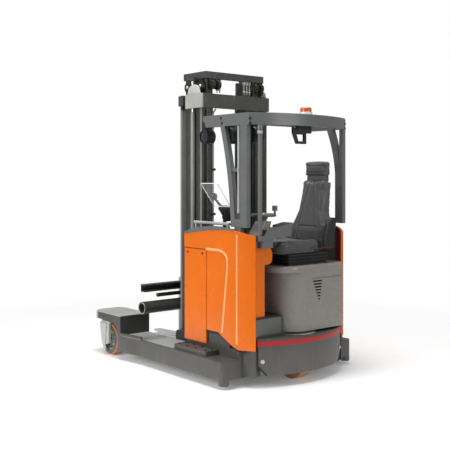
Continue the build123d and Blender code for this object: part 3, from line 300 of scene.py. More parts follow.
# Chassis: satin anthracite that stays even in the light, dusty low down, with pale running plates
chassis_grey = surface("powder_coat_anthracite", "#454543", 0.42, PEEL_MM, scuff=0.1, dust=0.22,
                       zones=((PALE, RUNNING_PLATES),))
# Wheel housings: the same coat, with painted highlights on the tops and noses where light falls, and painted
# shade on the wall that faces the rear
housing_grey_painted_light_and_shade = surface("powder_coat_anthracite_painted_light_and_shade", "#474745", 0.42, PEEL_MM, scuff=0.1, dust=0.2,
                       zones=((PALE, PLATFORM_TOPS_PAINTED_LIGHT), (PALE, PLATFORM_NOSES_PAINTED_LIGHT), ("#302F2D", HOUSING_REARS_PAINTED_SHADE)))
# Skirt: a touch lighter than the chassis, so its bowed face reads as a piece of its own
skirt_grey = surface("powder_coat_grey_satin", "#50504E", 0.42, PEEL_MM, scuff=0.1, dust=0.2)
# Mast stages: dark and oily, with upright rub marks
mast_grey = surface("powder_coat_dark_grey", "#3E3E3B", 0.38, PEEL_MM, scuff=0.35)
# Outer mast: the same, with pale head ends, and painted highlights on the front flange and its tips that
# draw thin upright lines
outer_grey = surface("powder_coat_dark_grey_pale_ends_painted_highlights", "#42423F", 0.38, PEEL_MM, scuff=0.35,
                     zones=(("#A7A8A4", MAST_HEAD_ENDS), ("#8E8F8C", FRONT_FLANGE_HIGHLIGHT),
                            ("#7E7F7C", FLANGE_TIPS_HIGHLIGHT)))
# Guard: smooth mid grey with a soft sheen along its bends
guard_grey = surface("powder_coat_mid_grey", "#676968", 0.34, PEEL_MM, mottle=0.05)
# Yokes, forks and drive unit: pale grey that stands out against the dark chassis
pale_grey = surface("powder_coat_pale_grey", "#B4B6B3", 0.42, PEEL_MM, dust=0.4)
# Cab panels: deep orange under a thin clear coat, with soft broad reflections
orange = surface("gloss_enamel_orange", "#E66E04", 0.26, ENAMEL_MM, bump=0.02, mottle=0.035, patch_mm=320,
                 Coat_Weight=0.22, Coat_Roughness=0.1, Specular_IOR_Level=0.3)
# Right panel: orange outside, and dark red painted shade on the faces turned towards the driver
orange_painted_shade_inside = surface("gloss_enamel_orange_painted_shade_inside", "#E66E08", 0.28, ENAMEL_MM, bump=0.02, mottle=0.035,
                       patch_mm=320, zones=(("#8E2A16", PANEL_INSIDE_PAINTED_SHADE),), Coat_Weight=0.4, Coat_Roughness=0.1)
# Moulded panel edges: glossier enamel in a pale orange, a painted highlight for the light that the creases
# catch, shown as a pale line
orange_painted_highlight = surface("gloss_enamel_orange_painted_highlight", "#FBB176", 0.16, ENAMEL_MM, bump=0.01, mottle=0.03,
                      Coat_Weight=0.6, Coat_Roughness=0.05)
# Stripe: clear red, half gloss
red = surface("gloss_enamel_red", "#A8201F", 0.36, ENAMEL_MM, bump=0.02)
# Cylinder barrels: light grey enamel that shines in a long stripe
painted_barrel = surface("enamel_barrel_grey", "#8B8C8A", 0.3, 2.0, mottle=0.1, scuff=0.2)
print("materials with the paints", len(bpy.data.materials))

# %% [markdown]
# ## Plastics, rubber and upholstery
# Moulded ABS has a fine spark texture of about a millimetre, which breaks up its reflections. Rubber and
# leatherette are rougher and scatter what light they get. A photo texture could show the same grain, but a
# noise worked out from its real size needs no file and holds at any distance.

# %% Plastics, rubber and upholstery
SPARK_MM = 1.0
DASH_RAIL = {"Z": (1.243, 1.33)}
CONSOLE_TOP = {"NZ": (0.5, 1.1)}
STEP_RISER = {"X": (-1.16, -1.13), "Z": (0.4, 0.545)}
# Painted light: the upright backrest and all above it are lighter
BACKREST_PAINTED_LIGHT = {"Z": (1.23, 1.95)}
# Seat base and cowling: silver grey with a satin coat that picks up the orange beside it
silver_abs = surface("moulded_abs_silver_grey", "#8A8782", 0.28, 1.2, bump=0.05, mottle=0.03,
                     Coat_Weight=0.3, Coat_Roughness=0.12)
# Steering wheel: mid grey, dull
wheel_abs = surface("moulded_abs_mid_grey", "#5E605F", 0.4, SPARK_MM, bump=0.1)
# Dashboard: dark and matte below a pale rail
dark_abs = surface("moulded_abs_dark_grey", "#3D3E40", 0.5, SPARK_MM, bump=0.12,
                   zones=(("#A2A4A2", DASH_RAIL),))
# Armrest console: grey sides and a dark top that doesn't dazzle
console_abs = surface("moulded_abs_console", "#646566", 0.5, SPARK_MM, bump=0.12,
                      zones=(("#262728", CONSOLE_TOP),))
# Lamps, levers and trim: black, with small soft highlights
black_abs = surface("moulded_abs_black", "#1B1B1C", 0.42, SPARK_MM, bump=0.12)
# Beacon foot: clean white
white_abs = surface("moulded_abs_white", "#E6E6E2", 0.35, 1.2)
# Footwell: a black rubber floor that swallows light, over a grey steel riser
footwell_finish = surface("rubber_and_steel_footwell", "#232324", 0.7, 2.0, bump=0.15,
                          zones=(("#636461", STEP_RISER),))
# Bellows, mat and seals: black and dull
rubber = surface("moulded_rubber_black", "#1E1E1E", 0.72, 2.0, bump=0.15)
# Seat: leatherette with a coarse pore and a faint sheen; the upright backrest, neck and headrest above the
# cushion are painted lighter where light falls
leatherette = surface("leatherette_black_painted_light_back", "#383A39", 0.44, 1.8, bump=0.22, mottle=0.12,
                      zones=(("#4C4E4C", BACKREST_PAINTED_LIGHT),), Sheen_Weight=0.2)
# Seat thread: grey, so that the stitches show as fine dashes
thread = surface("grey_polyester_thread", "#6A6B6C", 0.7, 0.5, bump=0.2)
# Tyres: cast polyurethane, smooth and waxy, with dirt on the tread
polyurethane = surface("cast_polyurethane_orange", "#BE733A", 0.42, 4.0, bump=0.05, mottle=0.14, dust=0.5)
print("materials with the plastics", len(bpy.data.materials))

# %% [markdown]
# ## Bare metal, glass and acrylic
# Ground and plated steel are nearly mirrors with a fine grain, so they show the bright room. The pane is
# drawn with a low alpha instead of real refraction, which keeps what stands behind it crisp and costs no
# extra samples.

# %% Metals, glass and acrylic
# Rods, rollers and hubs: ground steel, bright along its length
bright_steel = surface("ground_steel", "#CDCFCF", 0.3, 1.0, bump=0.01, Metallic=0.85)
# Pulleys: oiled steel, nearly black with small glints
chain_steel = surface("oiled_steel", "#45433F", 0.36, 1.5, bump=0.1, Metallic=0.85)
# Chain links: worn steel, a little brighter at the plates' edges
link_steel = surface("worn_chain_steel", "#63615C", 0.34, 1.5, bump=0.05, Metallic=0.5)
# Bolts, anchors and rims: zinc plate, pale and cool
zinc = surface("zinc_plated_steel", "#C9C8C2", 0.34, 0.8, bump=0.06, Metallic=0.9)
# Beacon: amber acrylic that glows a little from inside
amber = surface("amber_acrylic", "#D2611B", 0.15, 2.0, bump=0.02, Transmission_Weight=0.25)
# Lamp faces and screen: smoked glass, dark with a sharp reflection
smoked = surface("smoked_glass", "#26292B", 0.1, 3.0, bump=0.01, Coat_Weight=0.6)
# Dash pane: clear acrylic that only veils what is behind it
clear = surface("clear_acrylic", "#FAFCFC", 0.06, 2.0, bump=0.0, mottle=0.01, rough_swing=0.02, Alpha=0.06)
# The pane's rim: a pale opaque finish that paints the light sawn acrylic gathers as a bright highlight line
acrylic_edge = surface("acrylic_edge_painted_highlight", "#E9EDEC", 0.2, 2.0, bump=0.01)
print("materials in all", len(bpy.data.materials))

# %% [markdown]
# ## Finishes for the CAD nodes
# Every solid gets its finish from this table. Their meshes are left alone.

# %% Finishes
FINISHES = {
    chassis_grey: ("chassis_frame", "rear_step", "sill_plates"),
    skirt_grey: ("rear_skirt",),
    housing_grey_painted_light_and_shade: ("wheel_housing_left", "wheel_housing_right"),
    mast_grey: ("reach_carriage", "middle_mast", "inner_mast", "lift_carriage", "fork_frame", "battery"),
    outer_grey: ("outer_mast",),
    guard_grey: ("overhead_guard", "roof_bars", "grab_tube"),
    orange: ("side_panel_left", "battery_hatch", "steering_column"),
    orange_painted_shade_inside: ("side_panel_right",),
    red: ("red_stripe",),
    silver_abs: ("seat_base", "steering_cowling"),
    dark_abs: ("dashboard", "battery_lid"),
    console_abs: ("armrest_console",),
    black_abs: ("control_display", "work_lamps", "mirror_bracket"),
    wheel_abs: ("steering_wheel",),
    rubber: ("seat_bellows",),
    footwell_finish: ("footwell",),
    leatherette: ("seat_cushion", "seat_back", "headrest"),
    pale_grey: ("load_yoke_left", "load_yoke_right", "drive_unit", "fork_left", "fork_right"),
    polyurethane: ("load_tyre_left", "load_tyre_right", "drive_tyre"),
    bright_steel: ("reach_rollers", "lift_rods", "load_hub_left", "load_hub_right", "drive_hub"),
    painted_barrel: ("lift_cylinders", "free_lift_cylinder"),
    chain_steel: ("mast_pulleys", "mast_chains"),
    white_abs: ("beacon_base",),
    amber: ("beacon_lens",),
    clear: ("clear_pane",),
}
for finish, names in FINISHES.items():
    for name in names:
        nodes[name].data.materials.clear()
        nodes[name].data.materials.append(finish)
print("finishes", len(FINISHES), "nodes", sum(len(names) for names in FINISHES.values()))


# %% [markdown]
# ## Pieces
# A piece is a mesh that rides on one CAD body. It takes its finish, and hides the CAD nodes that it stands
# for, if any.

# %% Adding a piece
def add_piece(name, mesh, finish, body, instead_of=()):
    """A finished mesh in the row frame, riding on a body."""
    mesh.name = name
    mesh.materials.clear()
    mesh.materials.append(finish)
    piece = bpy.data.objects.new(name, mesh)
    bpy.context.scene.collection.objects.link(piece)
    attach(piece, body)
    if instead_of:
        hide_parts(*instead_of)
    return piece


# %% [markdown]
# ## Three ways to make a small shape
# Most small parts are turned, drawn along a path or cut from plate. A profile turned about an axis gives
# caps, bolts and lamps, a round bar along points gives pipes and seals, and an outline pushed through a
# thickness gives plates. Primitives with modifiers could do it too, but these need no placing afterwards:
# the points are already where the real part is.

# %% Turned shapes
Y_AXIS, Z_AXIS = (0, 1, 0), (0, 0, 1)


def smooth(mesh, angle=0.6):
    """Smooth shading that keeps edges sharper than an angle in radians."""
    work = bmesh.new()
    work.from_mesh(mesh)
    bmesh.ops.remove_doubles(work, verts=work.verts, dist=1e-6)
    bmesh.ops.recalc_face_normals(work, faces=work.faces)
    for face in work.faces:
        face.smooth = True
    for edge in work.edges:
        edge.smooth = len(edge.link_faces) == 2 and edge.calc_face_angle(0.0) < angle
    work.to_mesh(mesh)
    work.free()
    return mesh


def lathe(profile, at, axis, sides=40):
    """A solid turned about an axis through a point, from (radius, height) pairs that start and end on it."""
    turn = Vector(axis).to_track_quat("Z", "Y").to_matrix().to_4x4()
    place = Matrix.Translation(at) @ turn
    verts, faces, rings = [], [], []
    for radius, height in profile:
        if radius == 0:
            rings.append([len(verts)] * sides)
            verts.append(place @ Vector((0, 0, height)))
        else:
            rings.append(list(range(len(verts), len(verts) + sides)))
            angles = [2 * math.pi * k / sides for k in range(sides)]
            verts += [place @ Vector((radius * math.cos(a), radius * math.sin(a), height)) for a in angles]
    for low_ring, high_ring in zip(rings, rings[1:]):
        for k in range(sides):
            corners = [low_ring[k], low_ring[(k + 1) % sides], high_ring[(k + 1) % sides], high_ring[k]]
            face = list(dict.fromkeys(corners))
            if len(face) > 2:
                faces.append(face)
    mesh = bpy.data.meshes.new("lathe")
    mesh.from_pydata(verts, [], faces)
    return smooth(mesh)


# %% Bars along a path
def bead(points, radius, sides=10, squash=(1.0, 1.0, 1.0)):
    """A round bar along points; squash scales its section along the world axes."""
    points = [Vector(p) for p in points]
    last = len(points) - 1
    verts, faces = [], []
    for k, point in enumerate(points):
        along = (points[min(k + 1, last)] - points[max(k - 1, 0)]).normalized()
        across = along.cross(Vector((0.31, 0.95, 0.05))).normalized()
        up = along.cross(across)
        for s in range(sides):
            angle = 2 * math.pi * s / sides
            offset = (across * math.cos(angle) + up * math.sin(angle)) * radius
            verts.append(point + Vector([a * b for a, b in zip(offset, squash)]))
    for k in range(last):
        for s in range(sides):
            a, b = k * sides, (k + 1) * sides
            faces.append((a + s, a + (s + 1) % sides, b + (s + 1) % sides, b + s))
    faces += [tuple(range(sides)), tuple(range(last * sides, (last + 1) * sides))]
    mesh = bpy.data.meshes.new("bead")
    mesh.from_pydata(verts, [], faces)
    return smooth(mesh, angle=0.9)


def rounded_path(corners, radius, steps=6):
    """Corner points turned into a path with rounded corners."""
    corners = [Vector(c) for c in corners]
    path = [corners[0]]
    for before, corner, after in zip(corners, corners[1:], corners[2:]):
        start = corner + (before - corner).normalized() * min(radius, (before - corner).length / 2)
        end = corner + (after - corner).normalized() * min(radius, (after - corner).length / 2)
        for k in range(steps + 1):
            t = k / steps
            path.append(start * (1 - t) ** 2 + corner * 2 * t * (1 - t) + end * t ** 2)
    return path + [corners[-1]]


def joined(meshes):
    """Several meshes as one."""
    work = bmesh.new()
    for mesh in meshes:
        work.from_mesh(mesh)
    whole = bpy.data.meshes.new("joined")
    work.to_mesh(whole)
    work.free()
    return whole


# %% Plates
def prism(outline, axis, start, end, round_off=0.0):
    """A plate from an outline in the other two axes (X: YZ, Y: XZ, Z: XY), with rounded edges."""
    where = {"X": (1, 2, 0), "Y": (0, 2, 1), "Z": (0, 1, 2)}[axis]
    work = bmesh.new()
    rings = []
    for level in (start, end):
        ring = []
        for a, b in outline:
            at = [0.0, 0.0, 0.0]
            at[where[0]], at[where[1]], at[where[2]] = a, b, level
            ring.append(work.verts.new(at))
        rings.append(ring)
    count = len(outline)
    work.faces.new(rings[0])
    work.faces.new(rings[1])
    for k in range(count):
        work.faces.new((rings[0][k], rings[0][(k + 1) % count], rings[1][(k + 1) % count], rings[1][k]))
    bmesh.ops.recalc_face_normals(work, faces=work.faces)
    if round_off:
        bmesh.ops.bevel(work, geom=work.edges[:], offset=round_off, segments=3, profile=0.5, affect="EDGES",
                        clamp_overlap=True)
    mesh = bpy.data.meshes.new("prism")
    work.to_mesh(mesh)
    work.free()
    return smooth(mesh, angle=0.5)


def rectangle(low, high):
    """The four corners between two opposite ones."""
    return [low, (high[0], low[1]), high, (low[0], high[1])]


# %% [markdown]
# ## The seat
# A seat pad is a cover over foam, so it swells between its seams. The CAD solids of the cushion, backrest
# and headrest are hard blocks. Sculpting could soften them, but cloth gives the swelling by itself: each
# pad starts a little smaller than its block, is remeshed into 6 mm squares, and is blown up for 20 frames.
# No point may move further than a few millimetres, so the pad stays in its block's space. Seams are pressed
# in afterwards.

# %% Stuffing a pad
VOXEL, SHRINK, FRAMES = 0.006, 0.007, 20
PRESSURE = 4.0


def stuffed(node, most, floor_z=None):
    """A cloth copy of a CAD solid, blown up from inside. floor_z cuts off what lies below it."""
    scene = bpy.context.scene
    mesh = nodes[node].data.copy()
    mesh.transform(nodes[node].matrix_world)
    work = bmesh.new()
    work.from_mesh(mesh)
    bmesh.ops.remove_doubles(work, verts=work.verts, dist=1e-5)
    if floor_z:
        cut = bmesh.ops.bisect_plane(work, geom=work.verts[:] + work.edges[:] + work.faces[:],
                                     plane_co=(0, 0, floor_z), plane_no=Z_AXIS, clear_inner=True)
        bmesh.ops.holes_fill(work, edges=[e for e in cut["geom_cut"] if isinstance(e, bmesh.types.BMEdge)])
    work.to_mesh(mesh)
    work.free()
    pad = bpy.data.objects.new(f"pad_{node}", mesh)
    scene.collection.objects.link(pad)
    voxels = pad.modifiers.new("voxels", "REMESH")
    voxels.mode = "VOXEL"
    voxels.voxel_size = VOXEL
    pad.data = bpy.data.meshes.new_from_object(pad.evaluated_get(bpy.context.evaluated_depsgraph_get()))
    pad.modifiers.clear()
    for vertex, normal in zip(pad.data.vertices, [v.normal.copy() for v in pad.data.vertices]):
        vertex.co -= normal * SHRINK
    start = [v.co.copy() for v in pad.data.vertices]
    cloth = pad.modifiers.new("stuffing", "CLOTH")
    cloth.settings.use_pressure = True
    cloth.settings.uniform_pressure_force = PRESSURE
    cloth.settings.effector_weights.gravity = 0
    cloth.settings.quality = 4
    cloth.point_cache.frame_start, cloth.point_cache.frame_end = 1, FRAMES
    for step in range(1, FRAMES + 1):
        scene.frame_set(step)
    blown = bpy.data.meshes.new_from_object(pad.evaluated_get(bpy.context.evaluated_depsgraph_get()))
    bpy.data.objects.remove(pad)
    moves = [vertex.co - begin for vertex, begin in zip(blown.vertices, start)]
    drift = sum(moves, Vector()) / len(moves)
    for vertex, begin, move in zip(blown.vertices, start, moves):
        move = move - drift
        vertex.co = begin + move * min(1.0, most / max(move.length, 1e-9))
    scene.frame_set(1)
    return blown


# %% Pressing seams in
SEAM_HALF, SEAM_DEPTH = 0.006, 0.007
# A point starts to count as facing a way at the first cosine, and fully does so after the second value
FACING_FROM, FACING_SPAN = 0.25, 0.4


def pressed(mesh, facing, depth_at):
    """Push points that face one way inwards by the depth that a function gives for their place."""
    facing = Vector(facing).normalized()
    moves = []
    for vertex in mesh.vertices:
        share = max(0.0, min(1.0, (vertex.normal.dot(facing) - FACING_FROM) / FACING_SPAN))
        moves.append(facing * (-share * depth_at(vertex.co)) if share else None)
    for vertex, move in zip(mesh.vertices, moves):
        if move:
            vertex.co += move


def groove(distance):
    """Depth of a sewn seam at a distance from it."""
    return SEAM_DEPTH * math.exp(-(distance / SEAM_HALF) ** 2)


def refined(mesh):
    """One subdivision, smooth shaded."""
    work = bmesh.new()
    work.from_mesh(mesh)
    bmesh.ops.subdivide_edges(work, edges=work.edges, cuts=1, use_grid_fill=True, smooth=0.6)
    bmesh.ops.recalc_face_normals(work, faces=work.faces)
    for face in work.faces:
        face.smooth = True
    work.to_mesh(mesh)
    work.free()
    return mesh


# %% [markdown]
# ### Where the seams run
# The backrest and the cushion each have a sunk middle panel between two long seams. The backrest's panel
# narrows upwards, and its seams sway a little, as they do on a seat cut for the shoulders.

# %% Seams
SEAT_X = -1.0
LEAN = math.radians(10)
BACK_FOOT = Vector((SEAT_X, -0.208, 1.1))
BACK_UP = Vector((0, -math.sin(LEAN), math.cos(LEAN)))
BACK_FRONT = Vector((0, math.cos(LEAN), math.sin(LEAN)))
BACK_HALF, BACK_TAPER, BACK_HIGH, BACK_SWAY = 0.112, 0.075, 0.55, 0.02
PANEL_DEPTH = 0.011
HIP_SEAM = 0.17
CUSHION_HALF = 0.13
CUSHION_SEAMS = (0.02, 0.16)
HEADREST_SEAMS = (1.79, 1.735)


def back_seam(height):
    """Half the width of the backrest's middle panel at a height along it."""
    return BACK_HALF - BACK_TAPER * min(1.0, max(0.0, height / BACK_HIGH)) + BACK_SWAY * math.sin(6 * height)


def back_depth(at):
    """Backrest: a sunk middle panel between two long seams and one cross seam above the hips."""
    side, height = abs(at.x - SEAT_X), (at - BACK_FOOT).dot(BACK_UP)
    edge = back_seam(height)
    dip = PANEL_DEPTH / (1 + math.exp((side - edge) / 0.01))
    cross = groove(height - HIP_SEAM) if side < edge else 0.0
    return dip + groove(side - edge) + cross


def cushion_depth(at):
    """Cushion: a sunk middle panel, two long seams and two cross seams."""
    side = abs(at.x - SEAT_X)
    dip = PANEL_DEPTH / (1 + math.exp((side - CUSHION_HALF) / 0.012))
    cross = sum(groove(at.y - y) for y in CUSHION_SEAMS) if side < CUSHION_HALF else 0.0
    return dip + groove(side - CUSHION_HALF) + cross


def headrest_depth(at):
    """Headrest: two level seams across its face."""
    return sum(groove(at.z - z) for z in HEADREST_SEAMS)


print("backrest panel", round(2 * back_seam(0), 3), "m wide at its foot")

# %% The three pads and the headrest's stalks
HEADREST_FOOT = 1.69
back = stuffed("seat_back", most=0.012)
pressed(back, BACK_FRONT, back_depth)
cushion = stuffed("seat_cushion", most=0.012)
pressed(cushion, Z_AXIS, cushion_depth)
head = stuffed("headrest", most=0.009, floor_z=HEADREST_FOOT)
pressed(head, Y_AXIS, headrest_depth)
PADS = (("padded_backrest", back, "seat_back"), ("padded_cushion", cushion, "seat_cushion"),
        ("padded_headrest", head, "headrest"))
pads = [add_piece(name, refined(mesh), leatherette, "chassis", (node,))
        for name, mesh, node in PADS]
# A stalk's (radius, height) pairs: a rod with a collar
STALK = [(0, 1.65), (0.008, 1.65), (0.008, 1.676), (0.016, 1.677), (0.016, 1.684), (0.008, 1.685),
         (0.008, 1.73), (0, 1.73)]
STALK_Y, STALK_HALF_GAP = -0.368, 0.06
stalks = [lathe(STALK, (SEAT_X + side * STALK_HALF_GAP, STALK_Y, 0), Z_AXIS, sides=20) for side in (-1, 1)]
add_piece("headrest_stalks", joined(stalks), bright_steel, "chassis")
print("pads", [len(p.data.polygons) for p in pads])


# %% [markdown]
# ## Small parts that repeat
# Bolts, chain links, stitches, mat ribs and buttons are all copies of a template on a list of points. One
# Geometry Nodes tree does it: it stands the template on every point, turns its Z axis to the point's
# facing, makes the copies real and gives them their finish. The result becomes one plain mesh, a piece
# that rides one body.

# %% The scatter tree
def scatter_tree():
    """Template, size and finish in; real copies on the points out."""
    tree = bpy.data.node_groups.new("copies_on_points", "GeometryNodeTree")
    for socket, way, kind in (("Points", "INPUT", "Geometry"), ("Template", "INPUT", "Object"),
                              ("Size", "INPUT", "Float"), ("Finish", "INPUT", "Material"),
                              ("Copies", "OUTPUT", "Geometry")):
        tree.interface.new_socket(socket, in_out=way, socket_type=f"NodeSocket{kind}")
    given = put(tree, "NodeGroupInput")
    template = put(tree, "GeometryNodeObjectInfo", links={"Object": given.outputs["Template"]})
    facing = put(tree, "GeometryNodeInputNamedAttribute", {"data_type": "FLOAT_VECTOR", "Name": "facing"})
    turn = put(tree, "FunctionNodeAlignRotationToVector", {"axis": "Z"},
               {"Vector": facing.outputs["Attribute"]})
    copies = put(tree, "GeometryNodeInstanceOnPoints", links={
        "Points": given.outputs["Points"], "Instance": template.outputs["Geometry"],
        "Rotation": turn.outputs["Rotation"], "Scale": given.outputs["Size"]})
    real = put(tree, "GeometryNodeRealizeInstances", links={"Geometry": copies.outputs["Instances"]})
    painted = put(tree, "GeometryNodeSetMaterial", links={"Geometry": real.outputs["Geometry"],
                                                          "Material": given.outputs["Finish"]})
    put(tree, "NodeGroupOutput", links={"Copies": painted.outputs["Geometry"]})
    return tree


COPIES = scatter_tree()


def scattered(name, template, size, spots, finish, body, instead_of=()):
    """Copies of a template mesh on spots, each a place and a facing, as one piece."""
    mesh = bpy.data.meshes.new(name)
    mesh.from_pydata([Vector(at) for at, _ in spots], [], [])
    facing = mesh.attributes.new("facing", "FLOAT_VECTOR", "POINT")
    for item, (_, way) in zip(facing.data, spots):
        item.vector = Vector(way).normalized()
    holder = bpy.data.objects.new(name, mesh)
    sample = bpy.data.objects.new("template", template)
    for thing in (holder, sample):
        bpy.context.scene.collection.objects.link(thing)
    modifier = holder.modifiers.new("copies", "NODES")
    modifier.node_group = COPIES
    values = {"Template": sample, "Size": size, "Finish": finish}
    for item in COPIES.interface.items_tree:
        if item.name in values:
            modifier[item.identifier] = values[item.name]
    made = bpy.data.meshes.new_from_object(holder.evaluated_get(bpy.context.evaluated_depsgraph_get()))
    for thing in (holder, sample):
        bpy.data.objects.remove(thing)
    print(name, len(spots), "copies", len(made.polygons), "faces")
    return add_piece(name, made, finish, body, instead_of)


# %% [markdown]
# ### Bolts
# A bolt head is a washer, a hexagon and a slight dome. The drawing is made for a radius of one and scaled,
# so one template serves the guard, the guide covers, the skirt, the hubs and the pulley pins.

# %% Bolts on the guard, the guide covers and the skirt
ORIGIN = (0, 0, 0)
washer = lathe([(0, 0), (1.45, 0), (1.45, 0.22), (1.3, 0.3), (0, 0.3)], ORIGIN, Z_AXIS, sides=20)
hexagon = lathe([(0, 0.25), (1.0, 0.25), (1.0, 0.75), (0.86, 0.9), (0, 0.92)], ORIGIN, Z_AXIS, sides=6)
BOLT = joined([washer, hexagon])
# Radius of a bolt's hexagon
GUARD_BOLT, COVER_BOLT, SKIRT_BOLT = 0.0085, 0.009, 0.012
COVER_TOP = 0.265
COVER_ROWS = [(x, y) for x in (-0.75, -0.615, -0.5, -0.39) for y in (0.624, 0.695)]
# The left side's bolts, each a place and a facing; the right side mirrors them
GUARD_BOLTS = [((-1.150, 0.557, 2.162), (-0.89, 0.46, 0)), ((-1.150, 0.557, 2.122), (-0.89, 0.46, 0)),
               ((-0.793, 0.564, 2.182), Y_AXIS), ((-0.806, 0.564, 2.140), Y_AXIS)]
COVER_BOLTS = [((x, y, COVER_TOP), Z_AXIS) for x, y in COVER_ROWS]
SKIRT_BOLTS = [((-1.181, 0.451, 0.212), (-0.88, 0.48, 0))]


def both_sides(spots):
    """The left side's spots, then the same ones mirrored to the right."""
    return [((x, side * y, z), (a, side * b, c)) for side in (1, -1) for (x, y, z), (a, b, c) in spots]


scattered("guard_bolts", BOLT, GUARD_BOLT, both_sides(GUARD_BOLTS), black_abs, "chassis")
scattered("guide_cover_bolts", BOLT, COVER_BOLT, both_sides(COVER_BOLTS), chain_steel, "chassis")
scattered("skirt_bolts", BOLT, SKIRT_BOLT, both_sides(SKIRT_BOLTS), zinc, "chassis")

# %% Bolts on the load hubs and the pulleys
HUB_CIRCLE, HUB_BOLTS, HUB_BOLT = 0.062, 6, 0.0055
FIRST_ANGLE = 15
for name in ("left", "right"):
    low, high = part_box(f"load_hub_{name}")
    middle = (Vector(low) + Vector(high)) / 2
    angles = [math.radians(360 / HUB_BOLTS * k + FIRST_ANGLE) for k in range(HUB_BOLTS)]
    ring = [(middle.x + HUB_CIRCLE * math.cos(a), middle.z + HUB_CIRCLE * math.sin(a)) for a in angles]
    spots = [((x, face_y, z), (0, way, 0)) for face_y, way in ((high[1], 1), (low[1], -1)) for x, z in ring]
    scattered(f"load_hub_bolts_{name}", BOLT, HUB_BOLT, spots, zinc, f"load_wheel_{name}")
PULLEY_FACE, PULLEY_Z, PULLEY_PIN = 0.364, 2.51, 0.013
pins = [((x, side * PULLEY_FACE, PULLEY_Z), (0, side, 0)) for x in (-0.25, -0.06) for side in (1, -1)]
scattered("pulley_pins", BOLT, PULLEY_PIN, pins, zinc, "mast_middle")

# %% [markdown]
# ### Leaf chain
# The lift chains are leaf chains: rows of flat plates, four then three, on cross pins. One template holds
# two links, so its copies follow each other at twice the pitch.

# %% Chain
PITCH = 0.0190
CHAIN_X, CHAIN_Y = -0.334, 0.335
CHAIN_FOOT, CHAIN_TOP = 0.202, 2.311
PLATE_END, PLATE_HALF, PLATE_CORNERS = 0.0058, 0.0021, 12
PIN_RADIUS, PIN_HALF = 0.0026, 0.0168
# Height of a row, and the middle of each of its plates
ROWS = ((0.0, (-0.0145, -0.0048, 0.0048, 0.0145)), (PITCH, (-0.0097, 0.0, 0.0097)))
link_parts = []
for height, plate_ys in ROWS:
    # A plate is two half circles, one pitch apart
    outline = []
    for k in range(PLATE_CORNERS):
        angle = 2 * math.pi * k / PLATE_CORNERS
        half = math.copysign(PITCH / 2, math.sin(angle + 1e-6))
        outline.append((PLATE_END * math.cos(angle), height + PLATE_END * math.sin(angle) + half))
    link_parts += [prism(outline, "Y", y - PLATE_HALF, y + PLATE_HALF) for y in plate_ys]
PIN = [(0, -PIN_HALF), (PIN_RADIUS, -PIN_HALF), (PIN_RADIUS, PIN_HALF), (0, PIN_HALF)]
link_parts += [lathe(PIN, (0, 0, height), Y_AXIS, sides=8) for height in (-PITCH / 2, PITCH / 2)]
pairs = int((CHAIN_TOP - CHAIN_FOOT) / (2 * PITCH))
links = [((CHAIN_X, side * CHAIN_Y, CHAIN_FOOT + PITCH + 2 * PITCH * k), Z_AXIS)
         for side in (1, -1) for k in range(pairs)]
scattered("leaf_chains", joined(link_parts), 1.0, links, link_steel, "mast_outer", ("mast_chains",))

# %% [markdown]
# ### Stitches
# The seams of the backrest and cushion are double sewn. The stitches are found by casting rays at the
# finished pads, a little to each side of a seam, so they lie on the cloth.

# %% Stitches
STITCH_STEP, STITCH_AWAY = 0.0075, 0.011
BACK_FROM, BACK_COUNT = 0.04, 66
CUSHION_FROM, CUSHION_COUNT = -0.16, 56
# The rays start in front of the backrest and above the cushion
RAY_AHEAD, RAY_Z = 0.3, 1.4
STITCH = lathe([(0, -0.0026), (0.0006, -0.0022), (0.0008, 0), (0.0006, 0.0022), (0, 0.0026)],
               ORIGIN, Z_AXIS, sides=6)


def on_pad(pad, starts, way):
    """Where rays meet a pad's surface."""
    tree = BVHTree.FromPolygons([v.co for v in pad.data.vertices], [p.vertices for p in pad.data.polygons])
    hits = [tree.ray_cast(Vector(start), Vector(way))[0] for start in starts]
    return [at for at in hits if at]


stitch_spots = []
for side in (1, -1):
    for shift in (-STITCH_AWAY, STITCH_AWAY):
        heights = [BACK_FROM + STITCH_STEP * k for k in range(BACK_COUNT)]
        casts = [BACK_FOOT + BACK_UP * h + BACK_FRONT * RAY_AHEAD
                 + Vector((side * (back_seam(h) + shift), 0, 0)) for h in heights]
        stitch_spots += [(at, BACK_UP) for at in on_pad(pads[0], casts, -BACK_FRONT)]
        casts = [(SEAT_X + side * (CUSHION_HALF + shift), CUSHION_FROM + STITCH_STEP * k, RAY_Z)
                 for k in range(CUSHION_COUNT)]
        stitch_spots += [(at, Y_AXIS) for at in on_pad(pads[1], casts, (0, 0, -1))]
scattered("seat_stitches", STITCH, 1.0, stitch_spots, thread, "chassis")

# %% [markdown]
# ### Footwell mat and console buttons
# The mat's ribs run from the entry to the battery wall. The buttons follow the slope of the console.

# %% Mat ribs and buttons
RIB_HALF, RIB_STEP, RIB_COUNT = 0.215, 0.0125, 12
RIB_FIRST = (-0.905, 0.228, 0.5598)
RIB = prism([(-0.0035, 0), (0.0035, 0), (0.0028, 0.0035), (0.0012, 0.0048), (-0.0012, 0.0048),
             (-0.0028, 0.0035)], "X", -RIB_HALF, RIB_HALF, round_off=0.0006)
ribs = [((RIB_FIRST[0], RIB_FIRST[1] + RIB_STEP * k, RIB_FIRST[2]), Z_AXIS) for k in range(RIB_COUNT)]
scattered("footwell_mat_ribs", RIB, 1.0, ribs, rubber, "chassis")
BUTTON = lathe([(0, 0), (1.0, 0), (1.0, 0.12), (0.78, 0.2), (0.74, 0.55), (0.6, 0.68), (0, 0.6)],
               ORIGIN, Z_AXIS, sides=20)
BUTTON_SIZE = 0.010
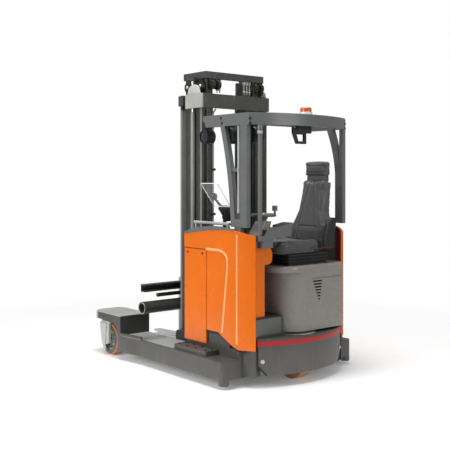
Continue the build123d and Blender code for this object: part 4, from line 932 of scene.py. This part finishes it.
# The console's top falls from its far end to its near end, given as (Y, Z)
CONSOLE_FAR, CONSOLE_NEAR = (0.132, 1.318), (0.420, 1.264)
SLOPE = (CONSOLE_FAR[1] - CONSOLE_NEAR[1]) / (CONSOLE_NEAR[0] - CONSOLE_FAR[0])
buttons = [((x, y, CONSOLE_NEAR[1] + (CONSOLE_NEAR[0] - y) * SLOPE), (0, SLOPE, 1))
           for x in (-1.183, -1.153) for y in (0.395, 0.365, 0.335)]
scattered("console_buttons", BUTTON, BUTTON_SIZE, buttons, silver_abs, "chassis")


# %% [markdown]
# ## The left panel
# The panel is pressed from sheet: a raised crease runs round its recess and another down its bend. They are
# bars laid half into the face, flattened towards it. A displacement could raise them too, but would need a
# very fine mesh.

# %% Creases
PANEL_Y = 0.606
CREASE_X, CREASE_Y = -1.0268, 0.5905
CREASE_FOOT, CREASE_STEP, CREASE_POINTS = 0.345, 0.0885, 11
recess = rounded_path([(x, PANEL_Y, z) for x, z in ((-0.648, 1.090), (-0.852, 1.090), (-0.926, 1.042),
                                                    (-0.926, 0.955), (-0.858, 0.418))], radius=0.05)
bend = [(CREASE_X, CREASE_Y, CREASE_FOOT + CREASE_STEP * k) for k in range(CREASE_POINTS)]
# The creases' pale orange is a painted highlight
add_piece("panel_creases", joined([bead(recess, radius=0.011, sides=12, squash=(1, 0.45, 1)),
                                   bead(bend, radius=0.010, sides=12, squash=(1, 0.6, 1))]),
          orange_painted_highlight, "chassis")
print("creases", len(recess) + len(bend), "points")

# %% [markdown]
# ### Grey trim
# A thin grey cap covers the panel's arched top edge and follows its bend. Its section is the same all
# along, so it is swept by hand: six points at each place, joined to the next six.

# %% Grey trim along the top edge
ARCH_MIDDLE, ARCH_RADIUS = (-0.7533, -0.0621), 1.3445
BEND_X, BEND_Y, BEND_RADIUS = -0.930, 0.248, 0.358
TRIM_LIFT, TRIM_OUT, TRIM_IN, TRIM_LIP, TRIM_BEVEL = 0.0004, 0.004, 0.023, 0.003, 0.001
# The trim's lower edge as (X, Z), from the mast to the rear
TRIM_FOOT = [(-0.342, 1.2020), (-0.49, 1.2230), (-0.59, 1.2365), (-0.73, 1.2495), (-0.83, 1.2570),
             (-0.93, 1.2600), (-1.00, 1.2575)]


def finer(points, steps=6):
    """More points along a line."""
    between = [tuple(a + (b - a) * k / steps for a, b in zip(start, end))
               for start, end in zip(points, points[1:]) for k in range(steps)]
    return between + [points[-1]]


def trim_section(x, z_foot):
    """The six points of the cap at one place along the panel."""
    y = BEND_Y + math.sqrt(BEND_RADIUS ** 2 - max(0.0, BEND_X - x) ** 2)
    arch = ARCH_MIDDLE[1] + math.sqrt(ARCH_RADIUS ** 2 - (x - ARCH_MIDDLE[0]) ** 2)
    z_top = max(arch, z_foot) + TRIM_LIP
    return [(x, y + TRIM_LIFT, z_foot), (x, y + TRIM_OUT, z_foot + TRIM_BEVEL), (x, y + TRIM_OUT, z_top),
            (x, y - TRIM_IN, z_top), (x, y - TRIM_IN, z_top - TRIM_LIP),
            (x, y + TRIM_LIFT, z_top - TRIM_LIP)]


sections = [trim_section(x, z) for x, z in finer(TRIM_FOOT)]
faces = [(k * 6 + s, k * 6 + (s + 1) % 6, (k + 1) * 6 + (s + 1) % 6, (k + 1) * 6 + s)
         for k in range(len(sections) - 1) for s in range(6)]
count = 6 * len(sections)
trim = bpy.data.meshes.new("trim")
trim.from_pydata(sum(sections, []), [], faces + [tuple(range(6)), tuple(range(count - 6, count))])
add_piece("panel_top_trim", smooth(trim, angle=0.5), guard_grey, "chassis")
print("trim", len(sections), "sections")

# %% [markdown]
# ### Gap shadows
# Black rubber bars lie in the gap under the panel's curved lower edge, over the hatch, and at both ends of
# the bowed skirt. Each is half hidden in its gap and shows as a dark line: painted shadow for the shade in
# the gap.

# %% Painted gap shadows on the panel and skirt
SKIRT_CENTRE_X, SKIRT_RADIUS = -0.3372, 0.9568
# Down the skirt's end and along its cut corner, as (Y, Z)
SKIRT_EDGE = [(0.4865, 0.333), (0.4865, 0.178), (0.420, 0.1005)]
HATCH_GAP_Y, HATCH_GAP_Z = 0.598, 1.085
sill_seal_painted_shadow = rounded_path([(-0.650, 0.597, 0.404), (-0.800, 0.597, 0.404), (-1.035, 0.585, 0.295),
                          (-1.09, 0.563, 0.294)], radius=0.03)
hatch_seal_painted_shadow = [(x, HATCH_GAP_Y, HATCH_GAP_Z) for x in (-0.644, -0.49, -0.342)]
add_piece("panel_seals", joined([bead(sill_seal_painted_shadow, radius=0.009), bead(hatch_seal_painted_shadow, radius=0.0042)]), rubber,
          "chassis")
skirt_edge = [(SKIRT_CENTRE_X - math.sqrt(SKIRT_RADIUS ** 2 - y * y), y, z) for y, z in finer(SKIRT_EDGE)]
strips = [bead([(x, side * y, z) for x, y, z in skirt_edge], radius=0.0065) for side in (1, -1)]
add_piece("skirt_seals", joined(strips), rubber, "chassis")
print("seals", 2 + len(strips))

# %% [markdown]
# ## Dash pane and screen
# A sawn edge gathers light from the whole clear pane, so a pale bar of its own paints that light as a
# highlight, instead of a zone that would also colour the pane's face. The screen is a thin plate that leans
# as the pane does.

# %% Pane edge and screen
PANE_LEAN = math.radians(37)
PANE_UP = Vector((0, math.sin(PANE_LEAN), math.cos(PANE_LEAN)))
PANE_OUT = Vector((0, -math.cos(PANE_LEAN), math.sin(PANE_LEAN)))
PANE_FOOT = Vector((-0.672, 0.450, 1.440))
PANE_HALF, PANE_LOW, PANE_HIGH = 0.110, 0.002, 0.248
# The edge's bar runs along the pane's middle, half its thickness out
PANE_MIDDLE = 0.0025
SCREEN_HALF, SCREEN_THICK = (0.052, 0.055), 0.004
# From the pane's foot: along the truck, down the slope and out of it
SCREEN_SHIFT, SCREEN_DROP, SCREEN_OUT = -0.018, 0.0653, 0.0202
corners = [PANE_FOOT + PANE_OUT * PANE_MIDDLE + Vector((x, 0, 0)) + PANE_UP * h
           for x, h in ((0, PANE_LOW), (PANE_HALF, PANE_LOW), (PANE_HALF, PANE_HIGH),
                        (-PANE_HALF, PANE_HIGH), (-PANE_HALF, PANE_LOW), (-0.002, PANE_LOW))]
add_piece("pane_edge", bead(rounded_path(corners, radius=0.012), radius=0.0036, sides=8), acrylic_edge,
          "chassis")
screen_at = PANE_FOOT + Vector((SCREEN_SHIFT, 0, 0)) - PANE_UP * SCREEN_DROP + PANE_OUT * SCREEN_OUT
screen_outline = rectangle((-SCREEN_HALF[0], -SCREEN_HALF[1]), SCREEN_HALF)
screen = prism(screen_outline, "Z", 0.0, SCREEN_THICK, round_off=0.0016)
screen.transform(Matrix.Translation(screen_at) @ PANE_OUT.to_track_quat("Z", "Y").to_matrix().to_4x4())
add_piece("display_screen", screen, smoked, "chassis")
print("pane edge", len(corners), "corners")

# %% [markdown]
# ## Work lamps
# Each lamp under the guard has a domed smoked glass in a rolled bezel. Both are turned from a profile that
# is worked out from the lamp's radius.

# %% Lamps
LAMP_Z, GUARD_SIDE_Y, LAMP_DEPTH = 2.038, 0.564, 0.040
# Place along the guard, inset from its side, radius
LAMPS = ((-0.512, 0.084, 0.060), (-0.830, 0.094, 0.070), (-1.085, 0.126, 0.066))
# Shares of the radius, with heights
GLASS = ((0, 0), (0.86, 0), (0.84, 0.002), (0.5, 0.006), (0, 0.008))
BEZEL = ((0.85, 0.0), (0.87, 0.010), (0.95, 0.012), (1.03, 0.004), (1.03, -0.030), (0.99, -0.034),
         (0.99, 0.0), (0.85, 0.0))
for number, (x, inset, radius) in enumerate(LAMPS, 1):
    face = (x, GUARD_SIDE_Y - inset + LAMP_DEPTH, LAMP_Z)
    glass, bezel = [lathe([(radius * share, height) for share, height in profile], face, Y_AXIS)
                    for profile in (GLASS, BEZEL)]
    add_piece(f"lamp_glass_{number}", glass, smoked, "chassis")
    add_piece(f"lamp_bezel_{number}", bezel, black_abs, "chassis")
print("lamps", len(LAMPS))

# %% [markdown]
# ## Guard tube
# A pale tube stands behind the guard's front post, with a thicker foot and a clamp at the top, and a collar
# sits on the grab tube. They are turned about upright axes.

# %% Guard tube and collar
SLOT_TUBE_AT, GRAB_TUBE_AT = (-0.995, 0.542, 0), (-1.172, 0.470, 2.040)
SLOT_TUBE = [(0, 1.400), (0.014, 1.400), (0.014, 1.428), (0.0115, 1.430), (0.0115, 2.080), (0.013, 2.082),
             (0.013, 2.108), (0.0085, 2.112), (0, 2.112)]
COLLAR = [(0.0182, 0), (0.023, 0.002), (0.023, 0.026), (0.0182, 0.028), (0.0182, 0)]
slot_tube = lathe(SLOT_TUBE, SLOT_TUBE_AT, Z_AXIS, sides=24)
collar = lathe(COLLAR, GRAB_TUBE_AT, Z_AXIS, sides=32)
add_piece("guard_slot_tube", joined([slot_tube, collar]), pale_grey, "chassis")
print("guard tube", len(slot_tube.polygons) + len(collar.polygons), "faces")

# %% [markdown]
# ## Mast fittings
# A rigid pipe in clips runs up the outer mast. Arched covers stand on its head ends, thin plates close the
# middle mast's head behind the pulleys, and threaded chain anchors with nuts hang under the crossbar. All
# are turned, bent or cut from plate, and each rides the stage that it is bolted to.

# %% Pipe, covers and plates
PIPE_X, PIPE_Y = -0.318, 0.268
PIPE = [(PIPE_X, PIPE_Y, 0.315), (PIPE_X, PIPE_Y, 2.27), (PIPE_X, PIPE_Y - 0.030, 2.305)]
pipe = bead(rounded_path(PIPE, radius=0.02), radius=0.0075, sides=14)
add_piece("mast_pipe", pipe, painted_barrel, "mast_outer")
COVER_X, COVER_HALF, COVER_WIDE = -0.205, 0.095, 0.085
COVER_FOOT, COVER_SPRING, COVER_RISE = 2.4412, 2.462, 0.062
COVER_IN, COVER_OUT, ARCH_STEPS = 0.392, 0.402, 10
arch_angles = [math.pi * k / ARCH_STEPS for k in range(ARCH_STEPS + 1)]
arch = [(COVER_X - COVER_WIDE * math.cos(a), COVER_SPRING + COVER_RISE * math.sin(a)) for a in arch_angles]
cover_outline = [(COVER_X - COVER_HALF, COVER_FOOT)] + arch + [(COVER_X + COVER_HALF, COVER_FOOT)]
covers = [prism(cover_outline, "Y", side * COVER_IN, side * COVER_OUT, round_off=0.003) for side in (1, -1)]
add_piece("mast_head_covers", joined(covers), pale_grey, "mast_outer")
PLATE_IN, PLATE_OUT = 0.3222, 0.3252
head_plate = rectangle((-0.305, 2.447), (0.016, 2.5785))
plates = [prism(head_plate, "Y", side * PLATE_IN, side * PLATE_OUT, round_off=0.001) for side in (1, -1)]
add_piece("mast_head_plates", joined(plates), mast_grey, "mast_middle")
print("mast head", len(covers) + len(plates), "plates")

# %% Chain anchors and pipe clips
ANCHOR_X, ANCHOR_YS = -0.296, (-0.185, -0.150, -0.115, 0.175, 0.205)
ANCHOR = [(0, 2.455), (0.006, 2.455), (0.006, 2.475), (0.013, 2.476), (0.013, 2.488), (0.006, 2.489),
          (0.006, 2.548), (0.015, 2.549), (0.015, 2.577), (0, 2.5775)]
anchors = [lathe(ANCHOR, (ANCHOR_X, y, 0), Z_AXIS, sides=6) for y in ANCHOR_YS]
add_piece("chain_anchors", joined(anchors), zinc, "mast_middle")
CLIP_HIGH, CLIP_ZS = 0.022, (0.55, 0.95, 1.35, 1.75, 2.15)
clip = rectangle((-0.327, 0.243), (-0.3102, 0.279))
clips = [prism(clip, "Z", z, z + CLIP_HIGH, round_off=0.004) for z in CLIP_ZS]
add_piece("mast_pipe_clips", joined(clips), black_abs, "mast_outer")
print("anchors", len(anchors), "clips", len(clips))

# %% [markdown]
# ## Load wheels and fork tube
# A steel flange covers most of each tyre's side, so orange shows as a thin ring and on the tread. The yoke
# carries a pale shield over the front of the wheel. Flanges turn with the wheel and shields steer with the
# yoke, so they ride on different bodies. The fork tube's cut ends are bare metal.

# %% Flanges, shields and tube rims
FLANGE = [(0.100, -0.006), (0.100, 0.0025), (0.130, 0.0025), (0.137, 0.0004), (0.137, -0.006),
          (0.100, -0.006)]
# The shield's outline as (X from the axle, Z)
SHIELD = ((0.103, 0.305), (0.098, 0.210), (0.080, 0.130), (0.052, 0.075), (0.020, 0.042), (0.004, 0.050),
          (0.012, 0.120), (0.004, 0.210), (-0.012, 0.305))
SHIELD_SUNK, SHIELD_OUT = 0.001, 0.008
for name, side in (("left", 1), ("right", -1)):
    low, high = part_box(f"load_tyre_{name}")
    centre = (Vector(low) + Vector(high)) / 2
    rings = [lathe(FLANGE, (centre.x, face_y, centre.z), (0, way, 0), sides=64)
             for face_y, way in ((high[1], 1), (low[1], -1))]
    add_piece(f"load_wheel_flanges_{name}", joined(rings), chassis_grey, f"load_wheel_{name}")
    yoke_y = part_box(f"load_yoke_{name}")[1 if side > 0 else 0][1]
    shield = prism([(centre.x + dx, z) for dx, z in SHIELD], "Y", yoke_y - side * SHIELD_SUNK,
                   yoke_y + side * SHIELD_OUT, round_off=0.0025)
    add_piece(f"load_wheel_shield_{name}", shield, pale_grey, f"load_yoke_{name}")
TUBE_BORE, TUBE_RADIUS, RIM_HIGH = 0.0456, 0.0545, 0.0012
TUBE_X, TUBE_END_Y, TUBE_Z = 0.095, 0.759, 0.516
RIM = [(TUBE_BORE, 0), (TUBE_BORE, RIM_HIGH), (TUBE_RADIUS, RIM_HIGH), (TUBE_RADIUS, 0), (TUBE_BORE, 0)]
rims = [lathe(RIM, (TUBE_X, side * TUBE_END_Y, TUBE_Z), (0, side, 0), sides=48) for side in (1, -1)]
add_piece("fork_tube_rims", joined(rims), zinc, "fork_frame")
print("wheel axle", [round(v, 3) for v in centre])

# %% [markdown]
# ## Last fittings in the cab
# The dash lever, the headrest's neck, the trim and lever at the seat's side, and the cap on the steering
# wheel are moulded parts. Each is one turned, bent or cut shape, since nothing finer shows at their size.

# %% Lever, neck, seat trim and steering cap
LEVER = [(-0.675, 0.430, 1.415), (-0.590, 0.424, 1.465), (-0.526, 0.420, 1.515)]
stalk = bead(rounded_path(LEVER, radius=0.03), radius=0.011, sides=16)
KNOB = [(0, -0.006), (0.014, -0.004), (0.026, 0.012), (0.030, 0.028), (0.026, 0.044), (0.014, 0.054),
        (0, 0.056)]
KNOB_AT, KNOB_LEAN = (-0.528, 0.420, 1.500), (0.3, 0, 1)
knob = lathe(KNOB, KNOB_AT, KNOB_LEAN, sides=32)
add_piece("dash_lever", joined([stalk, knob]), black_abs, "chassis")
NECK_HALF, NECK_REAR, NECK_FRONT = 0.105, -0.405, -0.335
NECK_LOW, NECK_HIGH = 1.652, 1.708
neck_outline = rectangle((SEAT_X - NECK_HALF, NECK_REAR), (SEAT_X + NECK_HALF, NECK_FRONT))
neck = prism(neck_outline, "Z", NECK_LOW, NECK_HIGH, round_off=0.012)
add_piece("headrest_neck", neck, leatherette, "chassis")
side_cover = prism([(-0.330, 1.085), (-0.205, 1.085), (-0.200, 1.150), (-0.245, 1.300), (-0.300, 1.345),
                    (-0.345, 1.320)], "X", -1.232, -1.214, round_off=0.005)
SEAT_LEVER = [(-1.240, -0.225, 1.10), (-1.250, -0.18, 1.10), (-1.250, -0.08, 1.082)]
seat_lever = bead(rounded_path(SEAT_LEVER, radius=0.02), radius=0.008)
add_piece("seat_side_trim", joined([side_cover, seat_lever]), black_abs, "chassis")
CAP, CAP_AT = [(0, 0), (0.031, 0), (0.031, 0.004), (0.022, 0.012), (0, 0.014)], (-1.060, 0.330, 1.386)
add_piece("steering_cap", lathe(CAP, CAP_AT, Z_AXIS), silver_abs, "steering")


low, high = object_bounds()
print("visual box", [round(v, 3) for v in (*low, *high)])
